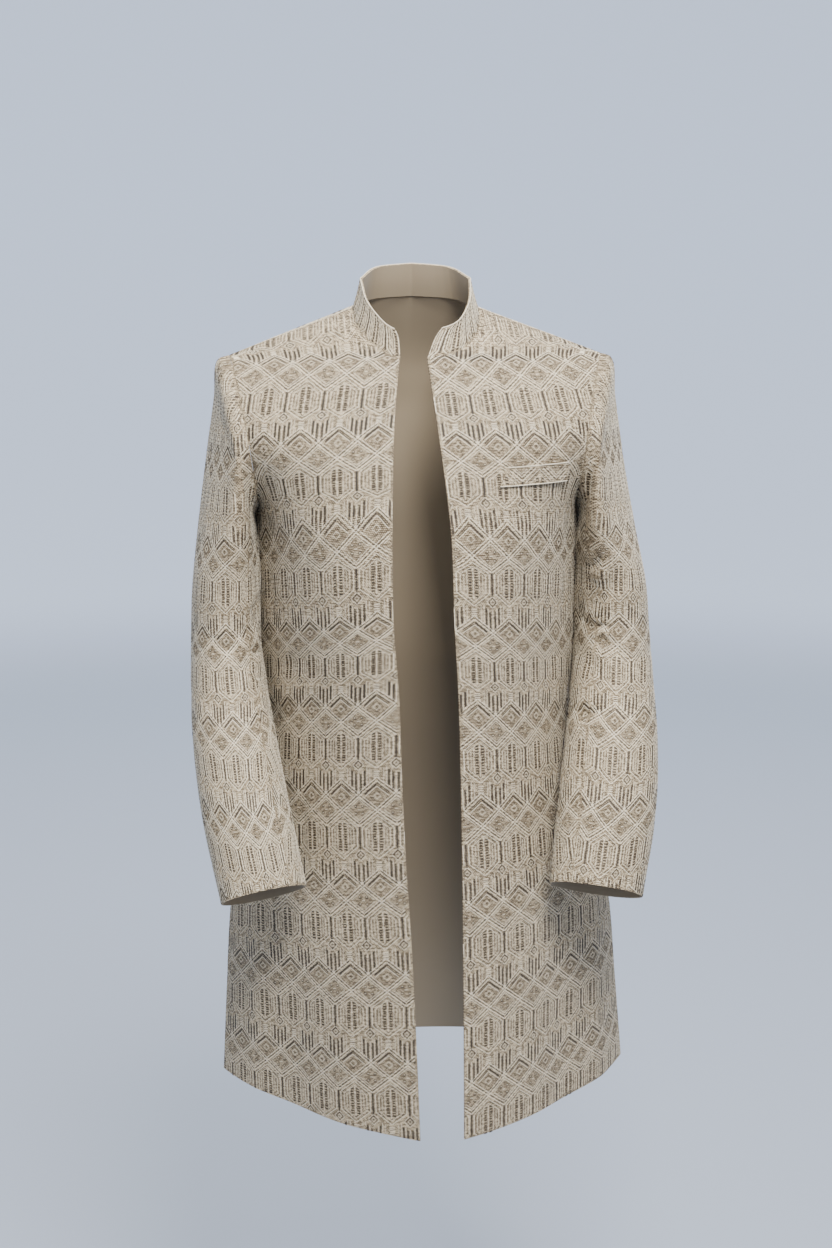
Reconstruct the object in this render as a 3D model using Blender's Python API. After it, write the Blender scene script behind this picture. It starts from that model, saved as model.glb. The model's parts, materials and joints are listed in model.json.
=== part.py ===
"""An open-fronted sherwani coat in the hollow shape it takes when it is worn.

Metres, +Z up, the front of the coat towards -Y and the wearer's left towards +X.
The origin is the middle of the neck, level with the two shoulder-neck points.
"""

import math
from collections import namedtuple

import bpy
import numpy as np

# Cloth and seams
CLOTH = 0.0020
COLLAR_CLOTH = 0.0026
WELT_CLOTH = 0.0015
SEAM_GAP = 0.0003

# How finely each piece is divided
PANEL_COLUMNS = 12
ROWS_PER_SECTION = 2
ROWS_PER_YOKE_SECTION = 2
ROWS_PER_SLEEVE_SECTION = 3
COLLAR_ROWS = (0.0, 0.35, 0.65, 0.86, 1.0)

# A half panel: its inner edge at the front or back, its outer edge at the side or
# armhole, and how far and at what angle the cloth leaves each edge. The right side's
# and the left side's widths differ a little, because the coat hangs slightly turned.
Half = namedtuple(
    "Half",
    "station in_right in_left in_y in_z out_right out_left out_y out_z"
    " lead lead_turn tail tail_turn",
)
UNDERARM = -0.225
FRONT_NECK = -0.070
BACK_NECK = -0.062
SHOULDER = -0.035
FRONT = [
    Half(-0.940, -0.010, 0.042, -0.168, -0.945, 0.2365, 0.2615, 0.030, -0.932, 0.095, 22, 0.090, 62),
    Half(-0.830, -0.014, 0.0415, -0.164, -0.833, 0.2310, 0.2520, 0.030, -0.827, 0.090, 20, 0.090, 66),
    Half(-0.715, -0.019, 0.0405, -0.160, -0.716, 0.2235, 0.2405, 0.028, -0.714, 0.085, 17, 0.090, 70),
    Half(-0.600, -0.026, 0.0390, -0.157, -0.600, 0.2040, 0.2150, 0.026, -0.600, 0.080, 17, 0.088, 69),
    Half(-0.500, -0.030, 0.0370, -0.155, -0.500, 0.1880, 0.1950, 0.024, -0.500, 0.075, 16, 0.086, 71),
    Half(-0.420, -0.0325, 0.0345, -0.153, -0.420, 0.1795, 0.1865, 0.022, -0.420, 0.072, 14, 0.085, 74),
    Half(-0.340, -0.038, 0.0300, -0.151, -0.340, 0.1780, 0.1850, 0.020, -0.340, 0.072, 12, 0.092, 79),
    Half(-0.270, -0.039, 0.0280, -0.148, -0.270, 0.1790, 0.1860, 0.020, -0.270, 0.073, 10, 0.106, 81),
    Half(UNDERARM, -0.0385, 0.0255, -0.1425, -0.225, 0.1800, 0.1865, 0.020, -0.225, 0.073, 9, 0.112, 82),
    Half(-0.205, -0.038, 0.0235, -0.139, -0.205, 0.1845, 0.1860, -0.028, -0.213, 0.070, 8, 0.062, 76),
    Half(-0.175, -0.037, 0.0200, -0.131, -0.174, 0.1890, 0.1865, -0.060, -0.178, 0.065, 8, 0.042, 60),
    Half(-0.140, -0.035, 0.0155, -0.120, -0.136, 0.1945, 0.1895, -0.070, -0.140, 0.060, 8, 0.046, 40),
    Half(-0.100, -0.031, 0.0100, -0.105, -0.092, 0.2030, 0.1985, -0.048, -0.098, 0.060, 9, 0.050, 26),
    Half(FRONT_NECK, -0.026, 0.0050, -0.0885, -0.050, 0.2090, 0.2075, -0.022, -0.0675, 0.060, 11, 0.050, 20),
    Half(-0.055, -0.050, 0.0500, -0.0680, -0.0390, 0.2118, 0.2118, -0.006, -0.0575, 0.048, 10, 0.045, 12),
    Half(-0.045, -0.0685, 0.0685, -0.0320, -0.0200, 0.2134, 0.2148, 0.003, -0.0540, 0.045, 4, 0.045, 5),
    Half(SHOULDER, -0.0735, 0.0735, 0.0100, 0.0000, 0.2140, 0.2158, 0.010, -0.0525, 0.045, 0, 0.045, 0),
]
BACK = [
    Half(-0.940, 0.0, 0.0, 0.150, -0.936, 0.2365, 0.2615, 0.030, -0.932, 0.110, 0, 0.075, 76),
    Half(-0.830, 0.0, 0.0, 0.144, -0.829, 0.2310, 0.2520, 0.030, -0.827, 0.106, 0, 0.072, 78),
    Half(-0.715, 0.0, 0.0, 0.136, -0.715, 0.2235, 0.2405, 0.028, -0.714, 0.102, 0, 0.068, 80),
    Half(-0.600, 0.0, 0.0, 0.125, -0.600, 0.2040, 0.2150, 0.026, -0.600, 0.098, 0, 0.062, 84),
    Half(-0.500, 0.0, 0.0, 0.110, -0.500, 0.1880, 0.1950, 0.024, -0.500, 0.092, 0, 0.058, 88),
    Half(-0.420, 0.0, 0.0, 0.101, -0.420, 0.1795, 0.1865, 0.022, -0.420, 0.090, 0, 0.060, 90),
    Half(-0.340, 0.0, 0.0, 0.103, -0.340, 0.1780, 0.1850, 0.020, -0.340, 0.092, 0, 0.068, 90),
    Half(-0.270, 0.0, 0.0, 0.110, -0.270, 0.1790, 0.1860, 0.020, -0.270, 0.096, 0, 0.078, 89),
    Half(UNDERARM, 0.0, 0.0, 0.116, -0.225, 0.1800, 0.1865, 0.020, -0.225, 0.098, 0, 0.088, 88),
    Half(-0.208, 0.0, 0.0, 0.118, -0.208, 0.1830, 0.1870, 0.050, -0.216, 0.094, 0, 0.051, 80),
    Half(-0.185, 0.0, 0.0, 0.120, -0.182, 0.1885, 0.1900, 0.072, -0.190, 0.088, 0, 0.036, 62),
    Half(-0.150, 0.0, 0.0, 0.120, -0.145, 0.1940, 0.1940, 0.082, -0.150, 0.083, 0, 0.040, 44),
    Half(-0.110, 0.0, 0.0, 0.115, -0.098, 0.2000, 0.2000, 0.073, -0.106, 0.076, 0, 0.045, 24),
    Half(-0.080, 0.0, 0.0, 0.101, -0.045, 0.2080, 0.2080, 0.046, -0.074, 0.070, 0, 0.048, 18),
    Half(BACK_NECK, 0.0, 0.0, 0.072, 0.0120, 0.2118, 0.2118, 0.028, -0.0605, 0.060, 0, 0.048, 12),
    Half(-0.048, -0.050, 0.0500, 0.0520, 0.0090, 0.2134, 0.2148, 0.018, -0.0550, 0.050, 2, 0.045, 5),
    Half(SHOULDER, -0.0735, 0.0735, 0.0100, 0.0000, 0.2140, 0.2158, 0.010, -0.0525, 0.045, 0, 0.045, 0),
]

# Rings of a sleeve below the underarm: the middle of each and its half width and depth.
Cuff = namedtuple("Cuff", "height middle_x middle_y half_width half_depth")
SLEEVE_RIGHT = [
    Cuff(-0.320, 0.2230, 0.004, 0.0385, 0.0650),
    Cuff(-0.375, 0.2235, 0.000, 0.0405, 0.0620),
    Cuff(-0.430, 0.2210, -0.018, 0.0440, 0.0590),
    Cuff(-0.490, 0.2155, -0.056, 0.0480, 0.0540),
    Cuff(-0.560, 0.2045, -0.099, 0.0500, 0.0490),
    Cuff(-0.650, 0.1855, -0.143, 0.0490, 0.0430),
]
SLEEVE_LEFT = [
    Cuff(-0.320, 0.2330, 0.004, 0.0395, 0.0650),
    Cuff(-0.375, 0.2345, 0.000, 0.0425, 0.0620),
    Cuff(-0.430, 0.2315, -0.018, 0.0480, 0.0590),
    Cuff(-0.490, 0.2255, -0.056, 0.0535, 0.0540),
    Cuff(-0.560, 0.2145, -0.099, 0.0570, 0.0490),
    Cuff(-0.655, 0.1950, -0.143, 0.0540, 0.0430),
]

# Rings of the sleeve head: how far each stands out past the armhole's seam and how far
# below it, at the top and at the underarm, and how far it swells to the front and back.
Head = namedtuple("Head", "out_top out_underarm drop_top drop_underarm swell")
HEAD = [
    Head(0.0115, 0.0045, 0.0035, 0.0100, 0.0030),
    Head(0.0180, 0.0050, 0.0480, 0.0260, 0.0035),
    Head(0.0290, 0.0020, 0.1200, 0.0480, 0.0000),
]

# A sleeve is cut in two pieces: the top sleeve, and the under sleeve on the inside of the
# arm. Their seams run down the sleeve at these turns round it, 0 at the front and 90 outside.
FRONT_SEAM_TURN = -42
BACK_SEAM_TURN = 232

# Soft hollows pressed into the sleeves where the arm bends. Each lies at a share of the
# way down the sleeve and at a turn round it, 0 at the front and 90 on the outside.
Hollow = namedtuple("Hollow", "down turn depth half_height half_turn slant")
HOLLOWS_RIGHT = [
    Hollow(0.47, -38, 0.0050, 0.035, 46, 0.10),
    Hollow(0.56, -20, 0.0045, 0.030, 50, -0.08),
    Hollow(0.66, 10, 0.0030, 0.032, 60, 0.10),
]
HOLLOWS_LEFT = [
    Hollow(0.37, -30, 0.0055, 0.036, 48, -0.10),
    Hollow(0.52, -34, 0.0050, 0.030, 46, 0.10),
    Hollow(0.64, -28, 0.0050, 0.034, 52, 0.12),
]

# The largest folds of the body: soft hollows, and ridges where the depth is less than 0.
# Each lies at a share of the panel's width and at a station, and fades out round it.
Fold = namedtuple("Fold", "panel side share station depth half_share half_height")
FOLDS = [
    Fold("front", -1, 0.86, -0.235, 0.0050, 0.10, 0.045),
    Fold("front", -1, 0.58, -0.860, 0.0050, 0.13, 0.200),
    Fold("front", -1, 0.30, -0.880, -0.0030, 0.12, 0.180),
    Fold("front", 1, 0.84, -0.240, 0.0045, 0.10, 0.050),
    Fold("front", 1, 0.52, -0.850, 0.0045, 0.12, 0.190),
    Fold("front", 1, 0.78, -0.880, -0.0035, 0.10, 0.160),
    Fold("back", -1, 0.46, -0.700, 0.0070, 0.13, 0.260),
    Fold("back", -1, 0.74, -0.820, -0.0045, 0.12, 0.200),
    Fold("back", -1, 0.66, -0.410, 0.0050, 0.22, 0.035),
    Fold("back", 1, 0.52, -0.720, 0.0065, 0.14, 0.240),
    Fold("back", 1, 0.80, -0.800, -0.0045, 0.10, 0.200),
    Fold("back", 1, 0.60, -0.390, 0.0055, 0.24, 0.035),
    Fold("back", -1, 0.88, -0.250, 0.0050, 0.09, 0.060),
    Fold("back", 1, 0.88, -0.245, 0.0055, 0.09, 0.060),
]

# The standing collar
COLLAR_FRONT_HEIGHT = 0.0275
COLLAR_BACK_HEIGHT = 0.0370
COLLAR_LEAN = 0.0095
COLLAR_SLANT_RIGHT = 0.006
COLLAR_SLANT_LEFT = 0.017
COLLAR_ROUNDING = 0.005

# The welt of the chest pocket, on the left front: its corners as shares of the panel's
# width at its inner and outer end, and the stations of its lower edge and its height.
WELT_IN = 0.297
WELT_OUT = 0.759
WELT_LEAN_IN = 0.064
WELT_LEAN_OUT = 0.022
WELT_STATION_IN = -0.1888
WELT_STATION_OUT = -0.1850
WELT_HEIGHT = 0.0188

EMBROIDERED = ("embroidered cloth", (0.36, 0.30, 0.235, 1.0), 0.75)


def through(stations, rows, wanted):
    """The values of a table at the wanted stations, on a smooth line through its rows."""
    stations = np.asarray(stations, float)
    rows = np.asarray(rows, float)
    wanted = np.asarray(wanted, float)
    slope = np.gradient(rows, stations, axis=0)
    low = np.clip(np.searchsorted(stations, wanted, side="right") - 1, 0, len(stations) - 2)
    width = (stations[low + 1] - stations[low])[:, None]
    t = (wanted[:, None] - stations[low][:, None]) / width
    return (
        (2 * t**3 - 3 * t**2 + 1) * rows[low]
        + (t**3 - 2 * t**2 + t) * width * slope[low]
        + (3 * t**2 - 2 * t**3) * rows[low + 1]
        + (t**3 - t**2) * width * slope[low + 1]
    )


def with_corner(stations, rows, wanted, corner):
    """As through, with the line free to turn sharply at the corner's station."""
    stations = np.asarray(stations, float)
    rows = np.asarray(rows, float)
    below = stations <= corner + 1e-9
    above = stations >= corner - 1e-9
    lower = through(stations[below], rows[below], wanted)
    upper = through(stations[above], rows[above], wanted)
    return np.where((wanted <= corner)[:, None], lower, upper)


def divided(table, first, last, parts):
    """The table's stations from first to last, with each step between two cut into parts."""
    marks = [row.station for row in table if first - 1e-9 <= row.station <= last + 1e-9]
    steps = [np.linspace(a, b, parts, endpoint=False) for a, b in zip(marks, marks[1:])]
    return np.concatenate([*steps, [marks[-1]]])


def half_panel(table, wanted, shares, side, neck):
    """Points of a half panel, rows by columns: side is 1 for the left and -1 for the right.
    neck is the station where its inner edge turns from the middle line into the neckline."""
    stations = [row.station for row in table]
    inner_x = [row.in_left if side > 0 else row.in_right for row in table]
    outer_x = [side * (row.out_left if side > 0 else row.out_right) for row in table]
    inner = with_corner(
        stations, [(x, row.in_y, row.in_z) for x, row in zip(inner_x, table)], wanted, neck
    )
    outer = with_corner(
        stations, [(x, row.out_y, row.out_z) for x, row in zip(outer_x, table)], wanted, UNDERARM
    )
    lead, lead_turn, tail, tail_turn = through(
        stations, [(r.lead, r.lead_turn, r.tail, r.tail_turn) for r in table], wanted
    ).T
    away = np.sign(table[0].in_y)
    lead_turn = np.radians(lead_turn)
    tail_turn = np.radians(tail_turn)
    rise = outer[:, 2] - inner[:, 2]
    first_handle = inner + np.stack(
        [side * lead * np.cos(lead_turn), -away * lead * np.sin(lead_turn), rise / 3], axis=1
    )
    last_handle = outer + np.stack(
        [-side * tail * np.cos(tail_turn), away * tail * np.sin(tail_turn), -rise / 3], axis=1
    )
    t = np.asarray(shares, float)[None, :, None]
    return (
        (1 - t) ** 3 * inner[:, None]
        + 3 * t * (1 - t) ** 2 * first_handle[:, None]
        + 3 * t**2 * (1 - t) * last_handle[:, None]
        + t**3 * outer[:, None]
    )


def folded(grid, stations, shares, panel, side):
    """A half panel with its folds pressed in. Its seams and its middle line stay put."""
    stations = np.asarray(stations, float)[:, None]
    shares = np.asarray(shares, float)[None, :]
    hold = np.sqrt(np.clip(np.sin(np.pi * shares), 0, 1)) * np.clip((SHOULDER - stations) / 0.1, 0, 1)
    hold[:, -1] = 0
    depth = np.zeros(grid.shape[:2])
    for fold in FOLDS:
        if (fold.panel, fold.side) == (panel, side):
            across = (shares - fold.share) / fold.half_share
            along = (stations - fold.station) / fold.half_height
            depth += fold.depth * np.exp(-(across**2) - along**2)
    sheet_faces = grid_faces(*grid.shape[:2], flip=(panel == "front") == (side < 0))
    inward = -corner_normals(grid.reshape(-1, 3), sheet_faces).reshape(grid.shape)
    return grid + inward * (depth * hold)[:, :, None]


def grid_faces(rows, columns, flip, closed=False):
    """Quads of a grid of points kept row after row, each facing out."""
    faces = []
    for i in range(rows - 1):
        for j in range(columns if closed else columns - 1):
            a, b = i * columns + j, i * columns + (j + 1) % columns
            quad = (a, b, b + columns, a + columns)
            faces.append(quad[::-1] if flip else quad)
    return faces


def corner_normals(points, faces):
    """The direction in which each point's faces look, as unit vectors."""
    total = np.zeros_like(points)
    for face in faces:
        a, b, c, d = (points[k] for k in face)
        total[list(face)] += np.cross(c - a, d - b)
    return total / np.linalg.norm(total, axis=1, keepdims=True)


def key(point):
    return tuple(np.round(point, 6))


def shared_normals(pieces):
    """Normals by place, with those of pieces that meet at a seam made one."""
    total = {}
    for points, faces in pieces:
        for point, normal in zip(points, corner_normals(points, faces)):
            total[key(point)] = total.get(key(point), 0) + normal
    return {place: normal / np.linalg.norm(normal) for place, normal in total.items()}


def material(name, colour, roughness):
    made = bpy.data.materials.get(name)
    if made is None:
        made = bpy.data.materials.new(name)
        made.use_nodes = True
        shader = made.node_tree.nodes["Principled BSDF"]
        shader.inputs["Base Color"].default_value = colour
        shader.inputs["Roughness"].default_value = roughness
        shader.inputs["Metallic"].default_value = 0.0
    return made


def cloth_piece(name, outer, faces, normals, thickness):
    """One closed solid: the outer face of the cloth, the same moved in, and its edges."""
    count = len(outer)
    inner = outer - normals * thickness
    uses = {}
    for face in faces:
        for a, b in zip(face, face[1:] + face[:1]):
            uses[(a, b)] = True
    rims = [(b, a, a + count, b + count) for a, b in uses if (b, a) not in uses]
    backs = [tuple(k + count for k in face[::-1]) for face in faces]
    mesh = bpy.data.meshes.new(name)
    mesh.from_pydata([tuple(p) for p in np.vstack([outer, inner])], [], [*faces, *backs, *rims])
    mesh.shade_smooth()
    mesh.set_sharp_from_angle(angle=math.radians(40))
    mesh.materials.append(material(*EMBROIDERED))
    piece = bpy.data.objects.new(name, mesh)
    bpy.context.scene.collection.objects.link(piece)
    return piece


def pulled_back(grid, rows=None, columns=None):
    """A grid with one edge row or column drawn in from its seam by half the seam's gap."""
    moved = grid.copy()
    if columns is not None:
        edge, next_one, span = columns
        step = grid[span, next_one] - grid[span, edge]
        length = np.linalg.norm(step, axis=1, keepdims=True)
        moved[span, edge] += step / length * SEAM_GAP / 2
    if rows is not None:
        edge, next_one = rows
        step = grid[next_one] - grid[edge]
        length = np.linalg.norm(step, axis=1, keepdims=True)
        moved[edge] += step / length * SEAM_GAP / 2
    return moved


def body_stations(table):
    """The rows of a half panel, and the number of the row at the underarm."""
    below = divided(table, table[0].station, UNDERARM, ROWS_PER_SECTION)
    above = divided(table, UNDERARM, SHOULDER, ROWS_PER_YOKE_SECTION)
    return np.concatenate([below, above[1:]]), len(below) - 1


def neck_row(stations, neck):
    return int(np.argmin(np.abs(stations - neck)))


def joined_back(right, left, neck):
    """The two halves of the back as one sheet, sharing the points of its middle line."""
    rows, columns = right.shape[:2]
    points = right.reshape(-1, 3).tolist()
    right_index = np.arange(rows * columns).reshape(rows, columns)
    left_index = np.zeros((rows, columns), int)
    for i in range(rows):
        for j in range(columns):
            if j == 0 and i <= neck:
                left_index[i, j] = right_index[i, j]
            else:
                left_index[i, j] = len(points)
                points.append(left[i, j].tolist())
    faces = []
    for index, flip in ((right_index, False), (left_index, True)):
        for i in range(rows - 1):
            for j in range(columns - 1):
                quad = (index[i, j], index[i, j + 1], index[i + 1, j + 1], index[i + 1, j])
                faces.append(tuple(int(k) for k in (quad[::-1] if flip else quad)))
    return np.array(points), faces


def make_body():
    """The two fronts and the back. Returns the grids that the other pieces start from."""
    shares = np.linspace(0, 1, PANEL_COLUMNS + 1)
    front_stations, underarm = body_stations(FRONT)
    back_stations, _ = body_stations(BACK)
    front_neck = neck_row(front_stations, FRONT_NECK)
    back_neck = neck_row(back_stations, BACK_NECK)
    fronts = {}
    backs = {}
    for side in (-1, 1):
        front = half_panel(FRONT, front_stations, shares, side, FRONT_NECK)
        fronts[side] = folded(front, front_stations, shares, "front", side)
        back = half_panel(BACK, back_stations, shares, side, BACK_NECK)
        backs[side] = folded(back, back_stations, shares, "back", side)
    rows, columns = fronts[1].shape[:2]
    front_faces = {s: grid_faces(rows, columns, flip=s < 0) for s in (-1, 1)}
    back_points, back_faces = joined_back(backs[-1], backs[1], back_neck)
    back_faces = [face[::-1] for face in back_faces] if facing_in(back_points, back_faces) else back_faces
    normals = shared_normals(
        [
            (fronts[1].reshape(-1, 3), front_faces[1]),
            (fronts[-1].reshape(-1, 3), front_faces[-1]),
            (back_points, back_faces),
        ]
    )
    side_seam = (-1, -2, slice(0, underarm + 1))
    for side, name in ((-1, "front_right"), (1, "front_left")):
        own = np.array([normals[key(p)] for p in fronts[side].reshape(-1, 3)])
        own = kept_behind(own, fronts[side][underarm:, -1], fronts[side].reshape(-1, 3), side)
        cut = pulled_back(fronts[side], rows=(-1, -2), columns=side_seam)
        cloth_piece(name, cut.reshape(-1, 3), front_faces[side], own, CLOTH)
    own = np.array([normals[key(p)] for p in back_points])
    for side in (-1, 1):
        own = kept_behind(own, backs[side][underarm:, -1], back_points, side)
    cuts = [pulled_back(backs[s], rows=(-1, -2), columns=side_seam) for s in (-1, 1)]
    cut_points, _ = joined_back(cuts[0], cuts[1], back_neck)
    cloth_piece("back", cut_points, back_faces, own, CLOTH)
    return fronts, backs, normals, underarm, front_neck, back_neck


def kept_behind(normals, edge, points, side):
    """Normals of a panel with those on its armhole edge turned so that the wall behind
    them stays on the body's side of the seam."""
    places = {key(p) for p in edge}
    kept = normals.copy()
    for k, point in enumerate(points):
        if key(point) in places:
            kept[k, 0] = side * max(side * kept[k, 0], 0.02)
            kept[k] /= np.linalg.norm(kept[k])
    return kept


def facing_in(points, faces):
    """True if the faces look towards the middle of the body."""
    normals = corner_normals(points, faces)
    outward = points * (1, 1, 0)
    return float((normals * outward).sum()) < 0


def ellipse_ring(ring, direction, turns, side):
    """A ring of a sleeve square to its direction, with 0 at the front and 90 outside."""
    down = direction / np.linalg.norm(direction)
    across = np.array([side, 0.0, 0.0])
    across -= down * (across @ down)
    across /= np.linalg.norm(across)
    forward = np.cross(down, across) * -side
    forward *= -np.sign(forward[1])
    middle = np.array([side * ring.middle_x, ring.middle_y, ring.height])
    return (
        middle
        + ring.half_width * np.sin(turns)[:, None] * across
        + ring.half_depth * np.cos(turns)[:, None] * forward
    )


def sleeve_turns(armhole):
    """The turn round the sleeve of each point of its armhole, spread by length:
    from the underarm past the front, the shoulder and the back."""
    closed = np.vstack([armhole, armhole[:1]])
    along = np.concatenate([[0], np.cumsum(np.linalg.norm(np.diff(closed, axis=0), axis=1))])
    return -math.pi / 2 + 2 * math.pi * along[:-1] / along[-1]


def head_ring(armhole, turns, side, head):
    """A ring of the sleeve head, worked out from the armhole's own points."""
    height = (1 + np.sin(turns)) / 2
    out = head.out_underarm + (head.out_top - head.out_underarm) * height
    drop = head.drop_underarm + (head.drop_top - head.drop_underarm) * height
    swell = -head.swell * np.cos(turns)
    return armhole + np.stack([side * out, swell, -drop], axis=1)


def press_hollows(rings, turns, hollows, side):
    """The rings of a sleeve with its soft hollows pressed in towards its middle."""
    rows = len(rings)
    down = np.linspace(0, 1, rows)[:, None]
    angle = turns[None, :]
    middle = rings.mean(axis=1, keepdims=True)
    inward = middle - rings
    inward /= np.linalg.norm(inward, axis=2, keepdims=True)
    depth = np.zeros(rings.shape[:2])
    for hollow in hollows:
        turn = (angle - math.radians(hollow.turn) + math.pi) % (2 * math.pi) - math.pi
        across = turn / math.radians(hollow.half_turn)
        along = (down - hollow.down - hollow.slant * turn) / hollow.half_height
        depth += hollow.depth * np.exp(-(across**2)) * (1.4 * np.exp(-(along**2)) - 0.55 * np.exp(-((along / 2) ** 2)))
    return rings + inward * depth[:, :, None]


def sleeve_grid(armhole, table, hollows, side, parts):
    """The points of a sleeve, rings by points, from its armhole to its cuff."""
    turns = sleeve_turns(armhole)
    middles = np.array([(side * r.middle_x, r.middle_y, r.height) for r in table])
    directions = np.gradient(middles, axis=0)
    directions[0] = (0, 0, -1)
    named = [armhole, *(head_ring(armhole, turns, side, head) for head in HEAD)]
    named += [ellipse_ring(r, d, turns, side) for r, d in zip(table, directions)]
    named = np.array(named)
    steps = np.linalg.norm(np.diff(named.mean(axis=1), axis=0), axis=1)
    stations = np.concatenate([[0], np.cumsum(np.maximum(steps, 0.012))])
    wanted = np.concatenate(
        [
            stations[:1],
            *[np.linspace(a, b, n + 1)[1:] for a, b, n in zip(stations, stations[1:], parts)],
        ]
    )
    flat = through(stations, named.reshape(len(named), -1), wanted)
    return press_hollows(flat.reshape(len(wanted), -1, 3), turns, hollows, side)


def make_sleeve(side_name, fronts, backs, underarm, table, hollows, side):
    """The two pieces of a sleeve, which share the points of their two seams."""
    front_edge = fronts[side][underarm:, -1]
    back_edge = backs[side][underarm:, -1]
    armhole = np.vstack([front_edge, back_edge[::-1][1:-1]]) + np.array([side * SEAM_GAP, 0, 0])
    parts = [1, 2, 2, 3] + [ROWS_PER_SLEEVE_SECTION] * (len(table) - 1)
    rings = sleeve_grid(armhole, table, hollows, side, parts)
    rows, around = rings.shape[:2]
    faces = grid_faces(rows, around, flip=side > 0, closed=True)
    normals = corner_normals(rings.reshape(-1, 3), faces).reshape(rings.shape)
    normals[0, :, 0] = side * np.minimum(side * normals[0, :, 0], -0.02)
    normals[0] /= np.linalg.norm(normals[0], axis=1, keepdims=True)
    turns = sleeve_turns(armhole)
    front_seam = int(np.argmin(np.abs(turns - math.radians(FRONT_SEAM_TURN))))
    back_seam = int(np.argmin(np.abs(turns - math.radians(BACK_SEAM_TURN))))
    top = np.arange(front_seam, back_seam + 1)
    under = np.arange(back_seam, around + front_seam + 1) % around
    everywhere = slice(0, rows)
    for name, columns in ((f"top_sleeve_{side_name}", top), (f"under_sleeve_{side_name}", under)):
        cut = pulled_back(rings[:, columns], columns=(0, 1, everywhere))
        cut = pulled_back(cut, columns=(-1, -2, everywhere))
        own_faces = grid_faces(rows, len(columns), flip=side > 0)
        own_normals = normals[:, columns].reshape(-1, 3)
        cloth_piece(name, cut.reshape(-1, 3), own_faces, own_normals, CLOTH)


def neckline(fronts, backs, front_neck, back_neck):
    """The coat's neckline from the right front's edge round the back to the left front's."""
    right = np.vstack([fronts[-1][front_neck:, 0], backs[-1][back_neck:, 0][::-1][1:]])
    left = np.vstack([fronts[1][front_neck:, 0], backs[1][back_neck:, 0][::-1][1:]])
    return np.vstack([right, left[::-1][1:]])


def resampled(line, along):
    """Points of a line at the given distances along it."""
    steps = np.linalg.norm(np.diff(line, axis=0), axis=1)
    total = np.concatenate([[0], np.cumsum(steps)])
    return np.stack([np.interp(along, total, line[:, k]) for k in range(3)], axis=1)


def make_collar(fronts, backs, front_neck, back_neck):
    base = neckline(fronts, backs, front_neck, back_neck)
    middle = np.array([0.0, -0.008, 0.0])
    inward = (middle - base) * (1, 1, 0)
    inward /= np.linalg.norm(inward, axis=1, keepdims=True)
    foot = base + inward * SEAM_GAP
    backness = np.clip((foot[:, 1] + 0.09) / 0.16, 0, 1)
    height = COLLAR_FRONT_HEIGHT + (COLLAR_BACK_HEIGHT - COLLAR_FRONT_HEIGHT) * backness
    top = foot + inward * COLLAR_LEAN
    top[:, 2] += height
    along = np.concatenate([[0], np.cumsum(np.linalg.norm(np.diff(foot, axis=0), axis=1))])
    rows = []
    for share in COLLAR_ROWS:
        bow = share + 0.10 * math.sin(math.pi * share)
        line = foot * (1 - share) + top * share
        line[:, :2] = (foot * (1 - bow) + top * bow)[:, :2]
        corner = COLLAR_ROUNDING * share**7
        start = COLLAR_SLANT_RIGHT * share + corner
        end = along[-1] - COLLAR_SLANT_LEFT * share - corner
        place = start + (end - start) * along / along[-1]
        steps = np.concatenate([[0], np.cumsum(np.linalg.norm(np.diff(line, axis=0), axis=1))])
        rows.append(resampled(line, place * steps[-1] / along[-1]))
    grid = np.array(rows)
    points = grid.reshape(-1, 3)
    faces = grid_faces(*grid.shape[:2], flip=False)
    if facing_in(points, faces):
        faces = [face[::-1] for face in faces]
    cloth_piece("collar", points, faces, corner_normals(points, faces), COLLAR_CLOTH)


def make_pocket_welt(normals_of_front):
    """The welt lies on the left front: the panel's own points there, moved out."""
    columns, rows = 9, 3
    grid = []
    for i in range(rows):
        up = i / (rows - 1)
        rise = WELT_HEIGHT * up
        shares = np.linspace(WELT_IN + WELT_LEAN_IN * up, WELT_OUT + WELT_LEAN_OUT * up, columns)
        stations = np.linspace(WELT_STATION_IN, WELT_STATION_OUT, columns) + rise
        line = [
            half_panel(FRONT, np.array([s]), [t], 1, FRONT_NECK)[0, 0]
            for s, t in zip(stations, shares)
        ]
        grid.append(line)
    grid = np.array(grid)
    points = grid.reshape(-1, 3)
    faces = grid_faces(rows, columns, flip=False)
    normals = corner_normals(points, faces)
    lifted = points + normals * (SEAM_GAP + WELT_CLOTH + 0.0004)
    cloth_piece("pocket_welt", lifted, faces, normals, WELT_CLOTH)


def clear_scene():
    for thing in list(bpy.data.objects):
        bpy.data.objects.remove(thing)


def main():
    clear_scene()
    fronts, backs, normals, underarm, front_neck, back_neck = make_body()
    make_sleeve("right", fronts, backs, underarm, SLEEVE_RIGHT, HOLLOWS_RIGHT, -1)
    make_sleeve("left", fronts, backs, underarm, SLEEVE_LEFT, HOLLOWS_LEFT, 1)
    make_collar(fronts, backs, front_neck, back_neck)
    make_pocket_welt(normals)


main()
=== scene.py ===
# %% [markdown]
# # An embroidered sherwani coat, worn open
#
# This lesson dresses a plain CAD coat so that it looks like the real one. The cloth is a thin
# shell, cut and seamed as the maker cuts it. The embroidery is charted, one repeat only,
# and a Geometry Nodes tree lays it stitch by stitch on every piece of cloth. In every
# table and loop a side of -1 is the wearer's right and a side of 1 the left.
#
# ## The imported model is the frame
#
# The CAD coat is loaded first. Every piece made here stands exactly where its CAD piece is,
# in metres, with the front of the coat towards -Y.

# %% Load the frame
import json
import math
from collections import namedtuple

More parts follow.
